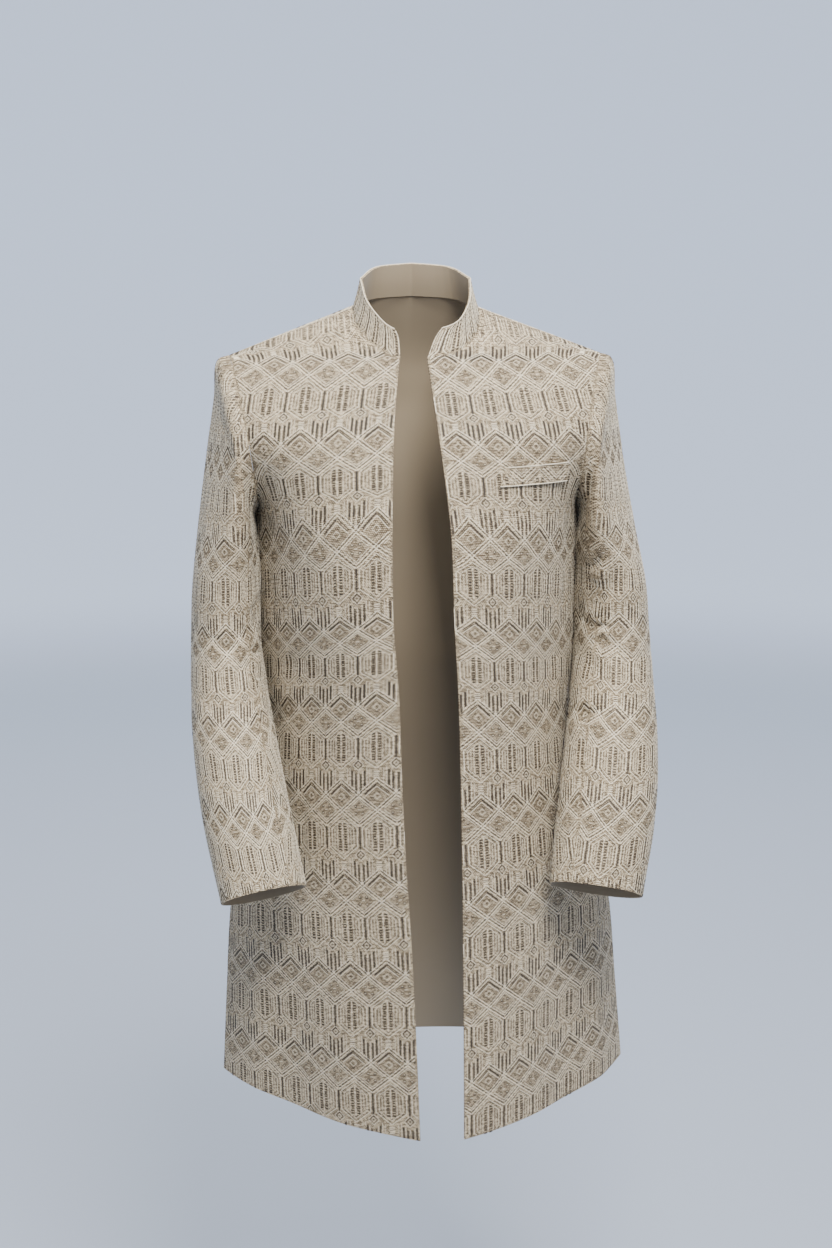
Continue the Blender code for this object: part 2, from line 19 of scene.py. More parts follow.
import bpy
import numpy as np
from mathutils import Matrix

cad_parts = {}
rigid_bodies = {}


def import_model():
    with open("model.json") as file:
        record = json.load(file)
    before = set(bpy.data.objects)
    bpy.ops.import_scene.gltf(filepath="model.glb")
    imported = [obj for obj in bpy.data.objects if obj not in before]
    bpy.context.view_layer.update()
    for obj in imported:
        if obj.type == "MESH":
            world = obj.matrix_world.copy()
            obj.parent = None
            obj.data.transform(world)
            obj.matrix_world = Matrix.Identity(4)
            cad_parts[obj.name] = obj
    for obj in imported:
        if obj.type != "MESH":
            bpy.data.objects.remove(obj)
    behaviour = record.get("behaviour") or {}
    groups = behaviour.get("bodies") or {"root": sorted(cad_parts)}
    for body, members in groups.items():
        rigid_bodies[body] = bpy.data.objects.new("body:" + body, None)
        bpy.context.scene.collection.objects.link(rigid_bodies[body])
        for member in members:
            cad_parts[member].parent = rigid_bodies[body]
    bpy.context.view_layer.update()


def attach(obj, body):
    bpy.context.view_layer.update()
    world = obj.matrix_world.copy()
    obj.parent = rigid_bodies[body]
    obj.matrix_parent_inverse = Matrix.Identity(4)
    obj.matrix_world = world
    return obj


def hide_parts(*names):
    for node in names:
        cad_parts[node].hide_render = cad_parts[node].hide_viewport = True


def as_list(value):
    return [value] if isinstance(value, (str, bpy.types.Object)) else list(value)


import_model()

# %% [markdown]
# ## The camera, the floor and the light
#
# The camera's place and lens were worked out from the photograph, so that the coat shows as it
# does there. The coat hangs as it is worn, so the floor lies well below its hem. A studio has
# a floor that curves up into a wall. Here it curves up all round, as a wide shallow bowl, so
# that the coat can be looked at from every side. The light is soft: one large lamp above and
# in front, one over the shoulders, and weaker ones on both sides and behind. The paper glows
# a little too, more at the back, as a backdrop does when it has lamps of its own.

# %% The camera
def add(thing):
    bpy.context.scene.collection.objects.link(thing)
    return thing


lens = bpy.data.cameras.new("camera")
lens.sensor_fit = "VERTICAL"
lens.sensor_height = 36.0
lens.lens = 59.86
camera = add(bpy.data.objects.new("camera", lens))
camera.location = (-0.2092, -2.3909, 0.1217)
camera.rotation_euler = (math.radians(78.45), 0.0, math.radians(-5.0))
bpy.context.scene.camera = camera
print("camera at", tuple(round(v, 3) for v in camera.location))

# %% Plain surfaces and colours
def linear(red, green, blue):
    """A colour read off a screen, 0 to 255, as the light values that Blender works with."""
    values = [v / 255 for v in (red, green, blue)]
    return tuple(v / 12.92 if v <= 0.04045 else ((v + 0.055) / 1.055) ** 2.4 for v in values) + (1.0,)


MID_GREY = (0.5, 0.5, 0.5, 1.0)


def new_material(name, roughness):
    made = bpy.data.materials.new(name)
    made.use_nodes = True
    shader = made.node_tree.nodes["Principled BSDF"]
    shader.inputs["Base Color"].default_value = MID_GREY
    shader.inputs["Roughness"].default_value = roughness
    return made, shader


print("a mid grey of 128 is", round(linear(128, 128, 128)[0], 3), "as light")

# %% Small helpers for node trees
class Tree:
    """Adds nodes to a tree, links what it is given and sets plain numbers."""

    def __init__(self, tree):
        self.tree = tree

    def give(self, socket, value):
        """Links a value that another node makes, or sets a plain one."""
        if isinstance(value, bpy.types.NodeSocket):
            self.tree.links.new(value, socket)
        elif value is not None:
            socket.default_value = value

    def node(self, kind, *values, output=0, **settings):
        """Adds a node with its inputs in order, and gives back one of its outputs."""
        made = self.tree.nodes.new(kind)
        for name, value in settings.items():
            setattr(made, name, value)
        for socket, value in zip([s for s in made.inputs if s.enabled], values):
            self.give(socket, value)
        return [s for s in made.outputs if s.enabled][output] if output is not None else made

    def named(self, kind, settings, **values):
        """Adds a node with its inputs by name, where an underscore stands for a space."""
        made = self.tree.nodes.new(kind)
        for name, value in settings.items():
            setattr(made, name, value)
        for name, value in values.items():
            wanted = name.replace("_", " ")
            self.give(next(s for s in made.inputs if s.enabled and s.name == wanted), value)
        return made

    def math(self, operation, *values):
        return self.node("ShaderNodeMath", *values, operation=operation)

    def noise(self, place, scale, detail, roughness):
        return self.node("ShaderNodeTexNoise", place, None, scale, detail, roughness,
                         noise_dimensions="3D")

    def colours(self, share, first, second):
        """A colour between the first and the second, by a share from 0 to 1."""
        return self.node("ShaderNodeMix", share, first, second, data_type="RGBA")

    def smooth(self, value, low, high, from_value=1.0, to_value=0.0):
        return self.node("ShaderNodeMapRange", value, low, high, from_value, to_value,
                         interpolation_type="SMOOTHSTEP", clamp=True)


def new_group(name, inputs, outputs):
    group = bpy.data.node_groups.new(name, "ShaderNodeTree")
    for label, kind, value in inputs:
        socket = group.interface.new_socket(label, in_out="INPUT", socket_type=kind)
        if value is not None:
            socket.default_value = value
    for label, kind in outputs:
        group.interface.new_socket(label, in_out="OUTPUT", socket_type=kind)
    tree = Tree(group)
    start = tree.node("NodeGroupInput", output=None)
    end = tree.node("NodeGroupOutput", output=None)
    return group, tree, start, end


print("a tree can add a node, a sum, a noise, a soft step and a mix of two colours")

# %% The floor that curves up into a wall
FLOOR_HEIGHT = -1.50
FLOOR_RADIUS = 4.2
CURVE_RADIUS = 1.6
WALL_HEIGHT = 3.4
FLOOR_RINGS = 3
CURVE_RINGS = 12
AROUND = 96
PAPER_PAINTED_LIGHT = 0.50

rim = [(FLOOR_RADIUS * k / FLOOR_RINGS, FLOOR_HEIGHT) for k in range(FLOOR_RINGS + 1)]
for k in range(1, CURVE_RINGS + 1):
    turn = math.radians(90 * k / CURVE_RINGS)
    rim.append((FLOOR_RADIUS + CURVE_RADIUS * math.sin(turn),
                FLOOR_HEIGHT + CURVE_RADIUS * (1 - math.cos(turn))))
rim.append((FLOOR_RADIUS + CURVE_RADIUS, WALL_HEIGHT))
points = [(r * math.cos(2 * math.pi * k / AROUND), r * math.sin(2 * math.pi * k / AROUND), z)
          for r, z in rim[1:] for k in range(AROUND)]
points.append((0.0, 0.0, FLOOR_HEIGHT))
faces = [(i * AROUND + k, (i + 1) * AROUND + k,
          (i + 1) * AROUND + (k + 1) % AROUND, i * AROUND + (k + 1) % AROUND)
         for i in range(len(rim) - 2) for k in range(AROUND)]
faces += [(len(points) - 1, k, (k + 1) % AROUND) for k in range(AROUND)]
bowl_mesh = bpy.data.meshes.new("studio_floor")
bowl_mesh.from_pydata(points, [], faces)
bowl_mesh.shade_smooth()
studio_floor = add(bpy.data.objects.new("studio_floor", bowl_mesh))

pale, shader = new_material("pale paper", 0.9)
# Painted light: the paper glows though it is no lamp, in place of lamps that light the backdrop.
shader.inputs["Emission Strength"].default_value = PAPER_PAINTED_LIGHT
t = Tree(pale.node_tree)
place = t.node("ShaderNodeTexCoord", output=None).outputs["Object"]
where = t.node("ShaderNodeSeparateXYZ", place, output=None).outputs
# Painted shade: the floor's paper colour is darker than the wall's, to even out the stronger lamp light
# that falls on the floor.
clear_of_painted_floor_shade = t.smooth(where["Z"], FLOOR_HEIGHT, FLOOR_HEIGHT + 0.25, 0.0, 1.0)
paper = t.colours(clear_of_painted_floor_shade, linear(158, 168, 184), linear(206, 217, 236))
t.give(shader.inputs["Base Color"], paper)
# The painted light is dim in front and brightest towards the back.
painted_light_towards_back = t.smooth(where["Y"], -1.0, 4.0, 0.0, 1.0)
painted_backdrop_light = t.colours(painted_light_towards_back, linear(112, 116, 122), linear(186, 199, 217))
t.give(shader.inputs["Emission Color"], painted_backdrop_light)
bowl_mesh.materials.append(pale)
print("the floor is", FLOOR_RADIUS * 2, "m across, in", len(faces), "faces")

# %% Soft lamps
def lamp(name, place, aim, size, power, colour):
    light = bpy.data.lights.new(name, "AREA")
    light.shape = "SQUARE"
    light.size = size
    light.energy = power
    light.color = colour
    thing = add(bpy.data.objects.new(name, light))
    thing.location = place
    away = np.array(place) - np.array(aim)
    flat = math.hypot(away[0], away[1])
    thing.rotation_euler = (math.atan2(flat, away[2]), 0.0, math.atan2(away[0], -away[1]))


lamp("key lamp", (0.25, -1.95, 1.75), (0.0, -0.05, -0.25), 0.9, 158.0, (1.0, 0.98, 0.95))
lamp("top lamp", (0.0, -0.45, 2.3), (0.0, -0.05, 0.0), 1.0, 58.0, (1.0, 0.98, 0.94))
lamp("fill lamp on the left", (-2.2, -2.2, 0.5), (0.0, 0.0, -0.5), 1.4, 8.0, (1.0, 0.89, 0.75))
lamp("fill lamp on the right", (2.2, -2.0, 0.4), (0.0, 0.0, -0.5), 1.4, 12.0, (1.0, 0.89, 0.75))
lamp("back lamp", (0.4, 2.2, 1.9), (0.0, 0.1, -0.4), 2.0, 62.0, (1.0, 0.97, 0.93))
world = bpy.data.worlds.new("studio air")
bpy.context.scene.world = world
world.use_nodes = True
world.node_tree.nodes["Background"].inputs["Color"].default_value = (1.0, 0.94, 0.86, 1.0)
world.node_tree.nodes["Background"].inputs["Strength"].default_value = 0.50
print("studio of", len(bpy.data.lights), "lamps")

# %% [markdown]
# ## The cut of the coat
#
# A tailor cuts two fronts, a back, two pieces for each sleeve, a collar and a pocket welt.
# The tables below are the sections of those pieces as the CAD source has them: each row is
# a height on the coat. A half panel runs from its inner edge, at the front or the middle of
# the back, to its outer edge, at the side seam or the armhole. The lead and the tail say how
# far and at what angle the cloth leaves each edge, which is what makes it curve.

# %% Sections of the fronts and the back
CLOTH = 0.0020
COLLAR_CLOTH = 0.0026
WELT_CLOTH = 0.0015
SEAM_GAP = 0.0003
UNDERARM = -0.225
FRONT_NECK = -0.070
BACK_NECK = -0.062
SHOULDER = -0.035
Half = namedtuple(
    "Half",
    "station in_right in_left in_y in_z out_right out_left out_y out_z"
    " lead lead_turn tail tail_turn",
)
FRONT = [
    Half(-0.940, -0.010, 0.042, -0.168, -0.945, 0.2365, 0.2615, 0.030, -0.932, 0.095, 22, 0.090, 62),
    Half(-0.830, -0.014, 0.0415, -0.164, -0.833, 0.2310, 0.2520, 0.030, -0.827, 0.090, 20, 0.090, 66),
    Half(-0.715, -0.019, 0.0405, -0.160, -0.716, 0.2235, 0.2405, 0.028, -0.714, 0.085, 17, 0.090, 70),
    Half(-0.600, -0.026, 0.0390, -0.157, -0.600, 0.2040, 0.2150, 0.026, -0.600, 0.080, 17, 0.088, 69),
    Half(-0.500, -0.030, 0.0370, -0.155, -0.500, 0.1880, 0.1950, 0.024, -0.500, 0.075, 16, 0.086, 71),
    Half(-0.420, -0.0325, 0.0345, -0.153, -0.420, 0.1795, 0.1865, 0.022, -0.420, 0.072, 14, 0.085, 74),
    Half(-0.340, -0.038, 0.0300, -0.151, -0.340, 0.1780, 0.1850, 0.020, -0.340, 0.072, 12, 0.092, 79),
    Half(-0.270, -0.039, 0.0280, -0.148, -0.270, 0.1790, 0.1860, 0.020, -0.270, 0.073, 10, 0.106, 81),
    Half(UNDERARM, -0.0385, 0.0255, -0.1425, -0.225, 0.18, 0.1865, 0.02, -0.225, 0.073, 9, 0.112, 82),
    Half(-0.205, -0.038, 0.0235, -0.139, -0.205, 0.1845, 0.1860, -0.028, -0.213, 0.070, 8, 0.062, 76),
    Half(-0.175, -0.037, 0.0200, -0.131, -0.174, 0.1890, 0.1865, -0.060, -0.178, 0.065, 8, 0.042, 60),
    Half(-0.140, -0.035, 0.0155, -0.120, -0.136, 0.1945, 0.1895, -0.070, -0.140, 0.060, 8, 0.046, 40),
    Half(-0.100, -0.031, 0.0100, -0.105, -0.092, 0.2030, 0.1985, -0.048, -0.098, 0.060, 9, 0.050, 26),
    Half(FRONT_NECK, -0.026, 0.005, -0.0885, -0.05, 0.209, 0.2075, -0.022, -0.0675, 0.06, 11, 0.05, 20),
    Half(-0.055, -0.05, 0.05, -0.068, -0.039, 0.2118, 0.2118, -0.006, -0.0575, 0.048, 10, 0.045, 12),
    Half(-0.045, -0.0685, 0.0685, -0.0320, -0.0200, 0.2134, 0.2148, 0.003, -0.0540, 0.045, 4, 0.045, 5),
    Half(SHOULDER, -0.0735, 0.0735, 0.0100, 0.0000, 0.2140, 0.2158, 0.010, -0.0525, 0.045, 0, 0.045, 0),
]
BACK = [
    Half(-0.940, 0.0, 0.0, 0.150, -0.936, 0.2365, 0.2615, 0.030, -0.932, 0.110, 0, 0.075, 76),
    Half(-0.830, 0.0, 0.0, 0.144, -0.829, 0.2310, 0.2520, 0.030, -0.827, 0.106, 0, 0.072, 78),
    Half(-0.715, 0.0, 0.0, 0.136, -0.715, 0.2235, 0.2405, 0.028, -0.714, 0.102, 0, 0.068, 80),
    Half(-0.600, 0.0, 0.0, 0.125, -0.600, 0.2040, 0.2150, 0.026, -0.600, 0.098, 0, 0.062, 84),
    Half(-0.500, 0.0, 0.0, 0.110, -0.500, 0.1880, 0.1950, 0.024, -0.500, 0.092, 0, 0.058, 88),
    Half(-0.420, 0.0, 0.0, 0.101, -0.420, 0.1795, 0.1865, 0.022, -0.420, 0.090, 0, 0.060, 90),
    Half(-0.340, 0.0, 0.0, 0.103, -0.340, 0.1780, 0.1850, 0.020, -0.340, 0.092, 0, 0.068, 90),
    Half(-0.270, 0.0, 0.0, 0.110, -0.270, 0.1790, 0.1860, 0.020, -0.270, 0.096, 0, 0.078, 89),
    Half(UNDERARM, 0.0, 0.0, 0.116, -0.225, 0.1800, 0.1865, 0.020, -0.225, 0.098, 0, 0.088, 88),
    Half(-0.208, 0.0, 0.0, 0.118, -0.208, 0.1830, 0.1870, 0.050, -0.216, 0.094, 0, 0.051, 80),
    Half(-0.185, 0.0, 0.0, 0.120, -0.182, 0.1885, 0.1900, 0.072, -0.190, 0.088, 0, 0.036, 62),
    Half(-0.150, 0.0, 0.0, 0.120, -0.145, 0.1940, 0.1940, 0.082, -0.150, 0.083, 0, 0.040, 44),
    Half(-0.110, 0.0, 0.0, 0.115, -0.098, 0.2000, 0.2000, 0.073, -0.106, 0.076, 0, 0.045, 24),
    Half(-0.080, 0.0, 0.0, 0.101, -0.045, 0.2080, 0.2080, 0.046, -0.074, 0.070, 0, 0.048, 18),
    Half(BACK_NECK, 0.0, 0.0, 0.072, 0.0120, 0.2118, 0.2118, 0.028, -0.0605, 0.060, 0, 0.048, 12),
    Half(-0.048, -0.050, 0.0500, 0.0520, 0.0090, 0.2134, 0.2148, 0.018, -0.0550, 0.050, 2, 0.045, 5),
    Half(SHOULDER, -0.0735, 0.0735, 0.0100, 0.0000, 0.2140, 0.2158, 0.010, -0.0525, 0.045, 0, 0.045, 0),
]
print("sections:", len(FRONT), "for each front,", len(BACK), "for the back")

# %% Rings of the sleeves
Ring = namedtuple("Ring", "height middle_x middle_y half_width half_depth")
SLEEVE = {
    -1: [
        Ring(-0.320, 0.2230, 0.004, 0.0385, 0.0650),
        Ring(-0.375, 0.2235, 0.000, 0.0405, 0.0620),
        Ring(-0.430, 0.2210, -0.018, 0.0440, 0.0590),
        Ring(-0.490, 0.2155, -0.056, 0.0480, 0.0540),
        Ring(-0.560, 0.2045, -0.099, 0.0500, 0.0490),
        Ring(-0.650, 0.1855, -0.143, 0.0490, 0.0430),
    ],
    1: [
        Ring(-0.320, 0.2330, 0.004, 0.0395, 0.0650),
        Ring(-0.375, 0.2345, 0.000, 0.0425, 0.0620),
        Ring(-0.430, 0.2315, -0.018, 0.0480, 0.0590),
        Ring(-0.490, 0.2255, -0.056, 0.0535, 0.0540),
        Ring(-0.560, 0.2145, -0.099, 0.0570, 0.0490),
        Ring(-0.655, 0.1950, -0.143, 0.0540, 0.0430),
    ],
}
Head = namedtuple("Head", "out_top out_underarm drop_top drop_underarm swell")
HEAD = [
    Head(0.0115, 0.0045, 0.0035, 0.0100, 0.0030),
    Head(0.0180, 0.0050, 0.0480, 0.0260, 0.0035),
    Head(0.0290, 0.0020, 0.1200, 0.0480, 0.0000),
]
FRONT_SEAM_TURN = -42
BACK_SEAM_TURN = 232
SIDE_NAME = {-1: "right", 1: "left"}
print("rings for each sleeve:", len(HEAD) + 1 + len(SLEEVE[1]))

# %% [markdown]
# ## Folds, placed one by one
#
# Cloth that is worn shows soft troughs with a ridge beside them, never an even ripple. They
# could be simulated, but the photograph shows which ones this coat has, so each is written
# down here: where it lies, how deep it is, how wide and how long. Those of the CAD coat come
# first, and the smaller ones that only the eye needs come after them. The back and the far
# sides get folds of the same kind, because they can't be seen.

# %% Folds of the body
Fold = namedtuple("Fold", "panel side share station depth half_share half_height slant")
FOLDS = [
    Fold("front", -1, 0.86, -0.235, 0.0050, 0.10, 0.045, 0.0),
    Fold("front", -1, 0.58, -0.860, 0.0050, 0.13, 0.200, 0.0),
    Fold("front", -1, 0.30, -0.880, -0.0030, 0.12, 0.180, 0.0),
    Fold("front", 1, 0.84, -0.240, 0.0045, 0.10, 0.050, 0.0),
    Fold("front", 1, 0.52, -0.850, 0.0045, 0.12, 0.190, 0.0),
    Fold("front", 1, 0.78, -0.880, -0.0035, 0.10, 0.160, 0.0),
    Fold("back", -1, 0.46, -0.700, 0.0070, 0.13, 0.260, 0.0),
    Fold("back", -1, 0.74, -0.820, -0.0045, 0.12, 0.200, 0.0),
    Fold("back", -1, 0.66, -0.410, 0.0050, 0.22, 0.035, 0.0),
    Fold("back", 1, 0.52, -0.720, 0.0065, 0.14, 0.240, 0.0),
    Fold("back", 1, 0.80, -0.800, -0.0045, 0.10, 0.200, 0.0),
    Fold("back", 1, 0.60, -0.390, 0.0055, 0.24, 0.035, 0.0),
    Fold("back", -1, 0.88, -0.250, 0.0050, 0.09, 0.060, 0.0),
    Fold("back", 1, 0.88, -0.245, 0.0055, 0.09, 0.060, 0.0),
]
SMALL_FOLDS = [
    Fold("front", -1, 0.83, -0.330, 0.0022, 0.050, 0.030, 0.9),
    Fold("front", -1, 0.72, -0.405, 0.0016, 0.110, 0.012, -0.10),
    Fold("front", -1, 0.62, -0.432, -0.0012, 0.120, 0.012, -0.08),
    Fold("front", -1, 0.80, -0.470, 0.0018, 0.090, 0.014, -0.14),
    Fold("front", -1, 0.55, -0.580, 0.0014, 0.030, 0.090, 0.5),
    Fold("front", -1, 0.16, -0.760, -0.0012, 0.040, 0.120, 0.0),
    Fold("front", -1, 0.76, -0.780, -0.0020, 0.050, 0.110, 0.3),
    Fold("front", 1, 0.80, -0.320, 0.0020, 0.050, 0.030, 0.9),
    Fold("front", 1, 0.70, -0.400, 0.0015, 0.120, 0.012, -0.08),
    Fold("front", 1, 0.58, -0.436, -0.0012, 0.110, 0.013, -0.10),
    Fold("front", 1, 0.78, -0.480, 0.0018, 0.090, 0.014, -0.12),
    Fold("front", 1, 0.36, -0.640, 0.0013, 0.030, 0.100, -0.4),
    Fold("front", 1, 0.14, -0.800, -0.0012, 0.040, 0.110, 0.0),
    Fold("front", 1, 0.68, -0.760, 0.0018, 0.050, 0.110, -0.3),
    Fold("back", -1, 0.30, -0.395, 0.0024, 0.160, 0.014, 0.06),
    Fold("back", -1, 0.44, -0.440, -0.0018, 0.180, 0.014, 0.05),
    Fold("back", -1, 0.70, -0.475, 0.0022, 0.140, 0.015, 0.10),
    Fold("back", -1, 0.20, -0.560, 0.0015, 0.050, 0.110, 0.0),
    Fold("back", -1, 0.80, -0.310, 0.0022, 0.060, 0.030, 0.8),
    Fold("back", 1, 0.34, -0.420, 0.0022, 0.170, 0.014, 0.05),
    Fold("back", 1, 0.50, -0.458, -0.0018, 0.160, 0.013, 0.07),
    Fold("back", 1, 0.74, -0.365, 0.0020, 0.120, 0.014, 0.09),
    Fold("back", 1, 0.24, -0.600, 0.0016, 0.050, 0.120, 0.0),
    Fold("back", 1, 0.78, -0.300, 0.0022, 0.060, 0.030, 0.8),
    Fold("back", -1, 0.55, -0.150, 0.0014, 0.160, 0.014, -0.05),
    Fold("back", 1, 0.50, -0.165, 0.0013, 0.150, 0.015, -0.06),
]
print("folds of the body:", len(FOLDS), "large,", len(SMALL_FOLDS), "small")

# %% Folds of the sleeves
Hollow = namedtuple("Hollow", "down turn depth half_height half_turn slant")
HOLLOWS = {
    -1: [
        Hollow(0.47, -38, 0.0050, 0.035, 46, 0.10),
        Hollow(0.56, -20, 0.0045, 0.030, 50, -0.08),
        Hollow(0.66, 10, 0.0030, 0.032, 60, 0.10),
    ],
    1: [
        Hollow(0.37, -30, 0.0055, 0.036, 48, -0.10),
        Hollow(0.52, -34, 0.0050, 0.030, 46, 0.10),
        Hollow(0.64, -28, 0.0050, 0.034, 52, 0.12),
    ],
}
SMALL_HOLLOWS = {
    -1: [
        Hollow(0.32, -108, -0.0046, 0.130, 30, 0.00),
        Hollow(0.41, -52, 0.0030, 0.014, 24, 0.06),
        Hollow(0.54, -56, 0.0055, 0.013, 18, 0.00),
        Hollow(0.61, -40, 0.0030, 0.014, 30, -0.05),
        Hollow(0.52, 40, 0.0014, 0.018, 34, 0.05),
        Hollow(0.55, 150, 0.0030, 0.024, 42, -0.08),
        Hollow(0.63, 190, 0.0032, 0.024, 44, 0.06),
        Hollow(0.48, 210, 0.0026, 0.020, 36, 0.08),
        Hollow(0.26, 200, 0.0024, 0.030, 34, 0.12),
        Hollow(0.80, 130, 0.0014, 0.030, 40, 0.08),
    ],
    1: [
        Hollow(0.39, -120, -0.0094, 0.150, 32, 0.00),
        Hollow(0.285, -22, 0.0052, 0.012, 28, -0.03),
        Hollow(0.318, -36, -0.0042, 0.015, 20, 0.00),
        Hollow(0.475, -40, 0.0042, 0.011, 26, 0.03),
        Hollow(0.507, -42, -0.0038, 0.015, 22, 0.00),
        Hollow(0.722, -50, 0.0056, 0.012, 20, 0.02),
        Hollow(0.756, -50, -0.0042, 0.016, 18, 0.00),
        Hollow(0.57, 46, 0.0014, 0.018, 34, -0.05),
        Hollow(0.57, 155, 0.0030, 0.024, 40, 0.08),
        Hollow(0.65, 185, 0.0030, 0.022, 46, -0.06),
        Hollow(0.50, 205, 0.0026, 0.022, 34, -0.08),
        Hollow(0.28, 195, 0.0024, 0.030, 36, -0.12),
        Hollow(0.82, 125, 0.0014, 0.028, 42, -0.08),
    ],
}
for side, word in SIDE_NAME.items():
    large, small = len(HOLLOWS[side]), len(SMALL_HOLLOWS[side])
    print("folds of the", word, "sleeve:", large, "large,", small, "small")

# %% [markdown]
# ## From the tables to curved cloth
#
# Between two rows of a table the cloth follows a smooth line, and across a panel it follows
# one curve with two handles. The same few functions gave the CAD solids. Here they run with
# many more points, so that the folds are smooth.

# %% Smooth lines through a table
def through(stations, rows, wanted):
    """The values of a table at the wanted stations, on a smooth line through its rows."""
    stations = np.asarray(stations, float)
    rows = np.asarray(rows, float)
    wanted = np.asarray(wanted, float)
    slope = np.gradient(rows, stations, axis=0)
    low = np.clip(np.searchsorted(stations, wanted, side="right") - 1, 0, len(stations) - 2)
    width = (stations[low + 1] - stations[low])[:, None]
    t = (wanted[:, None] - stations[low][:, None]) / width
    return (
        (2 * t**3 - 3 * t**2 + 1) * rows[low]
        + (t**3 - 2 * t**2 + t) * width * slope[low]
        + (3 * t**2 - 2 * t**3) * rows[low + 1]
        + (t**3 - t**2) * width * slope[low + 1]
    )


def with_corner(stations, rows, wanted, corner):
    """As through, with the line free to turn sharply at the corner's station."""
    stations = np.asarray(stations, float)
    rows = np.asarray(rows, float)
    below = stations <= corner + 1e-9
    above = stations >= corner - 1e-9
    lower = through(stations[below], rows[below], wanted)
    upper = through(stations[above], rows[above], wanted)
    return np.where((wanted <= corner)[:, None], lower, upper)


def divided(table, first, last, parts):
    """The table's stations from first to last, with each step between two cut into parts."""
    marks = [row.station for row in table if first - 1e-9 <= row.station <= last + 1e-9]
    steps = [np.linspace(a, b, parts, endpoint=False) for a, b in zip(marks, marks[1:])]
    return np.concatenate([*steps, [marks[-1]]])


print("a table of", len(FRONT), "rows gives a section at any height")

# %% A half panel
def half_panel(table, wanted, shares, side, neck):
    """Points of a half panel, rows by columns: side is 1 for the left and -1 for the right."""
    stations = [row.station for row in table]
    inner_x = [row.in_left if side > 0 else row.in_right for row in table]
    outer_x = [side * (row.out_left if side > 0 else row.out_right) for row in table]
    inner = with_corner(
        stations, [(x, row.in_y, row.in_z) for x, row in zip(inner_x, table)], wanted, neck
    )
    outer = with_corner(
        stations, [(x, row.out_y, row.out_z) for x, row in zip(outer_x, table)], wanted, UNDERARM
    )
    lead, lead_turn, tail, tail_turn = through(
        stations, [(r.lead, r.lead_turn, r.tail, r.tail_turn) for r in table], wanted
    ).T
    away = np.sign(table[0].in_y)
    lead_turn = np.radians(lead_turn)
    tail_turn = np.radians(tail_turn)
    rise = outer[:, 2] - inner[:, 2]
    first_handle = inner + np.stack(
        [side * lead * np.cos(lead_turn), -away * lead * np.sin(lead_turn), rise / 3], axis=1
    )
    last_handle = outer + np.stack(
        [-side * tail * np.cos(tail_turn), away * tail * np.sin(tail_turn), -rise / 3], axis=1
    )
    t = np.asarray(shares, float)[None, :, None]
    return (
        (1 - t) ** 3 * inner[:, None]
        + 3 * t * (1 - t) ** 2 * first_handle[:, None]
        + 3 * t**2 * (1 - t) * last_handle[:, None]
        + t**3 * outer[:, None]
    )


print("a half panel is one grid of points, rows by columns")

# %% Press the folds into a half panel
PANEL_WIDTH = 0.22


def grid_normals(grid):
    """The direction in which a grid of points looks at each of its points."""
    across = np.gradient(grid, axis=1)
    along = np.gradient(grid, axis=0)
    normal = np.cross(across, along)
    normal /= np.linalg.norm(normal, axis=2, keepdims=True) + 1e-12
    away = (normal * (grid - grid.mean(axis=(0, 1))) * (1, 1, 0)).sum()
    return normal if away > 0 else -normal


def trough(across, depth, ridges, spread=2.0, aside=0.0):
    """The profile of a fold: a trough with lower, wider ridges beside it."""
    return depth * np.exp(-(across**2)) - ridges * np.exp(-((across / spread - aside) ** 2))


def folded(grid, stations, shares, panel, side):
    """A half panel with its folds pressed in. Its seams and its middle line stay put."""
    down = np.asarray(stations, float)[:, None]
    over = np.asarray(shares, float)[None, :]
    hold = np.sqrt(np.clip(np.sin(np.pi * over), 0, 1)) * np.clip((SHOULDER - down) / 0.1, 0, 1)
    hold[:, -1] = 0
    depth = np.zeros(grid.shape[:2])
    for k, fold in enumerate(FOLDS + SMALL_FOLDS):
        if (fold.panel, fold.side) != (panel, side):
            continue
        across = (over - fold.share) / fold.half_share
        along = (down - fold.station - fold.slant * (over - fold.share)) / fold.half_height
        if k < len(FOLDS):
            depth += fold.depth * np.exp(-(across**2) - along**2)
        elif fold.half_share * PANEL_WIDTH > fold.half_height:
            depth += fold.depth * np.exp(-(across**2)) * trough(along, 1.5, 0.6, 2.2, 0.5)
        else:
            depth += fold.depth * np.exp(-(along**2)) * trough(across, 1.4, 0.5)
    return grid - grid_normals(grid) * (depth * hold)[:, :, None]


print("a fold is a trough with two ridges, or with one if it lies across the panel")

# %% Ease and a soft underarm
EASE = 0.0083
EASE_DEPTHS = [0.225, 0.231, 0.250, 0.410, 0.470]
EASE_SHARES = [0, 0.8, 1, 0.9, 0]
SOFT_REACH = 0.040
SOFT_ROUNDS = 60


def eased(grid, stations, shares, side):
    """A half panel with its side let out a little under the arm, where the cloth has ease."""
    lift = np.interp(-np.asarray(stations), EASE_DEPTHS, EASE_SHARES)
    over = np.clip((np.asarray(shares) - 0.55) / 0.45, 0, 1) ** 2
    moved = grid.copy()
    moved[:, :, 0] += side * EASE * lift[:, None] * over[None, :]
    return moved


def softened(grid, stations, shares, middle, reach):
    """A half panel with the sharp turn at one height relaxed, as cloth relaxes it."""
    near = np.exp(-(((np.asarray(stations) - middle) / reach) ** 2))
    hold = np.clip((1 - np.asarray(shares)) / 0.12, 0, 1) * np.clip(np.asarray(shares) / 0.08, 0, 1)
    weight = (near[:, None] * hold[None, :])[1:-1, :, None]
    moved = grid.copy()
    for _ in range(SOFT_ROUNDS):
        between = (moved[:-2] + moved[2:]) / 2
        moved[1:-1] += 0.9 * weight * (between - moved[1:-1])
    return moved


print("the side is let out by", EASE * 1000, "mm under the arm")

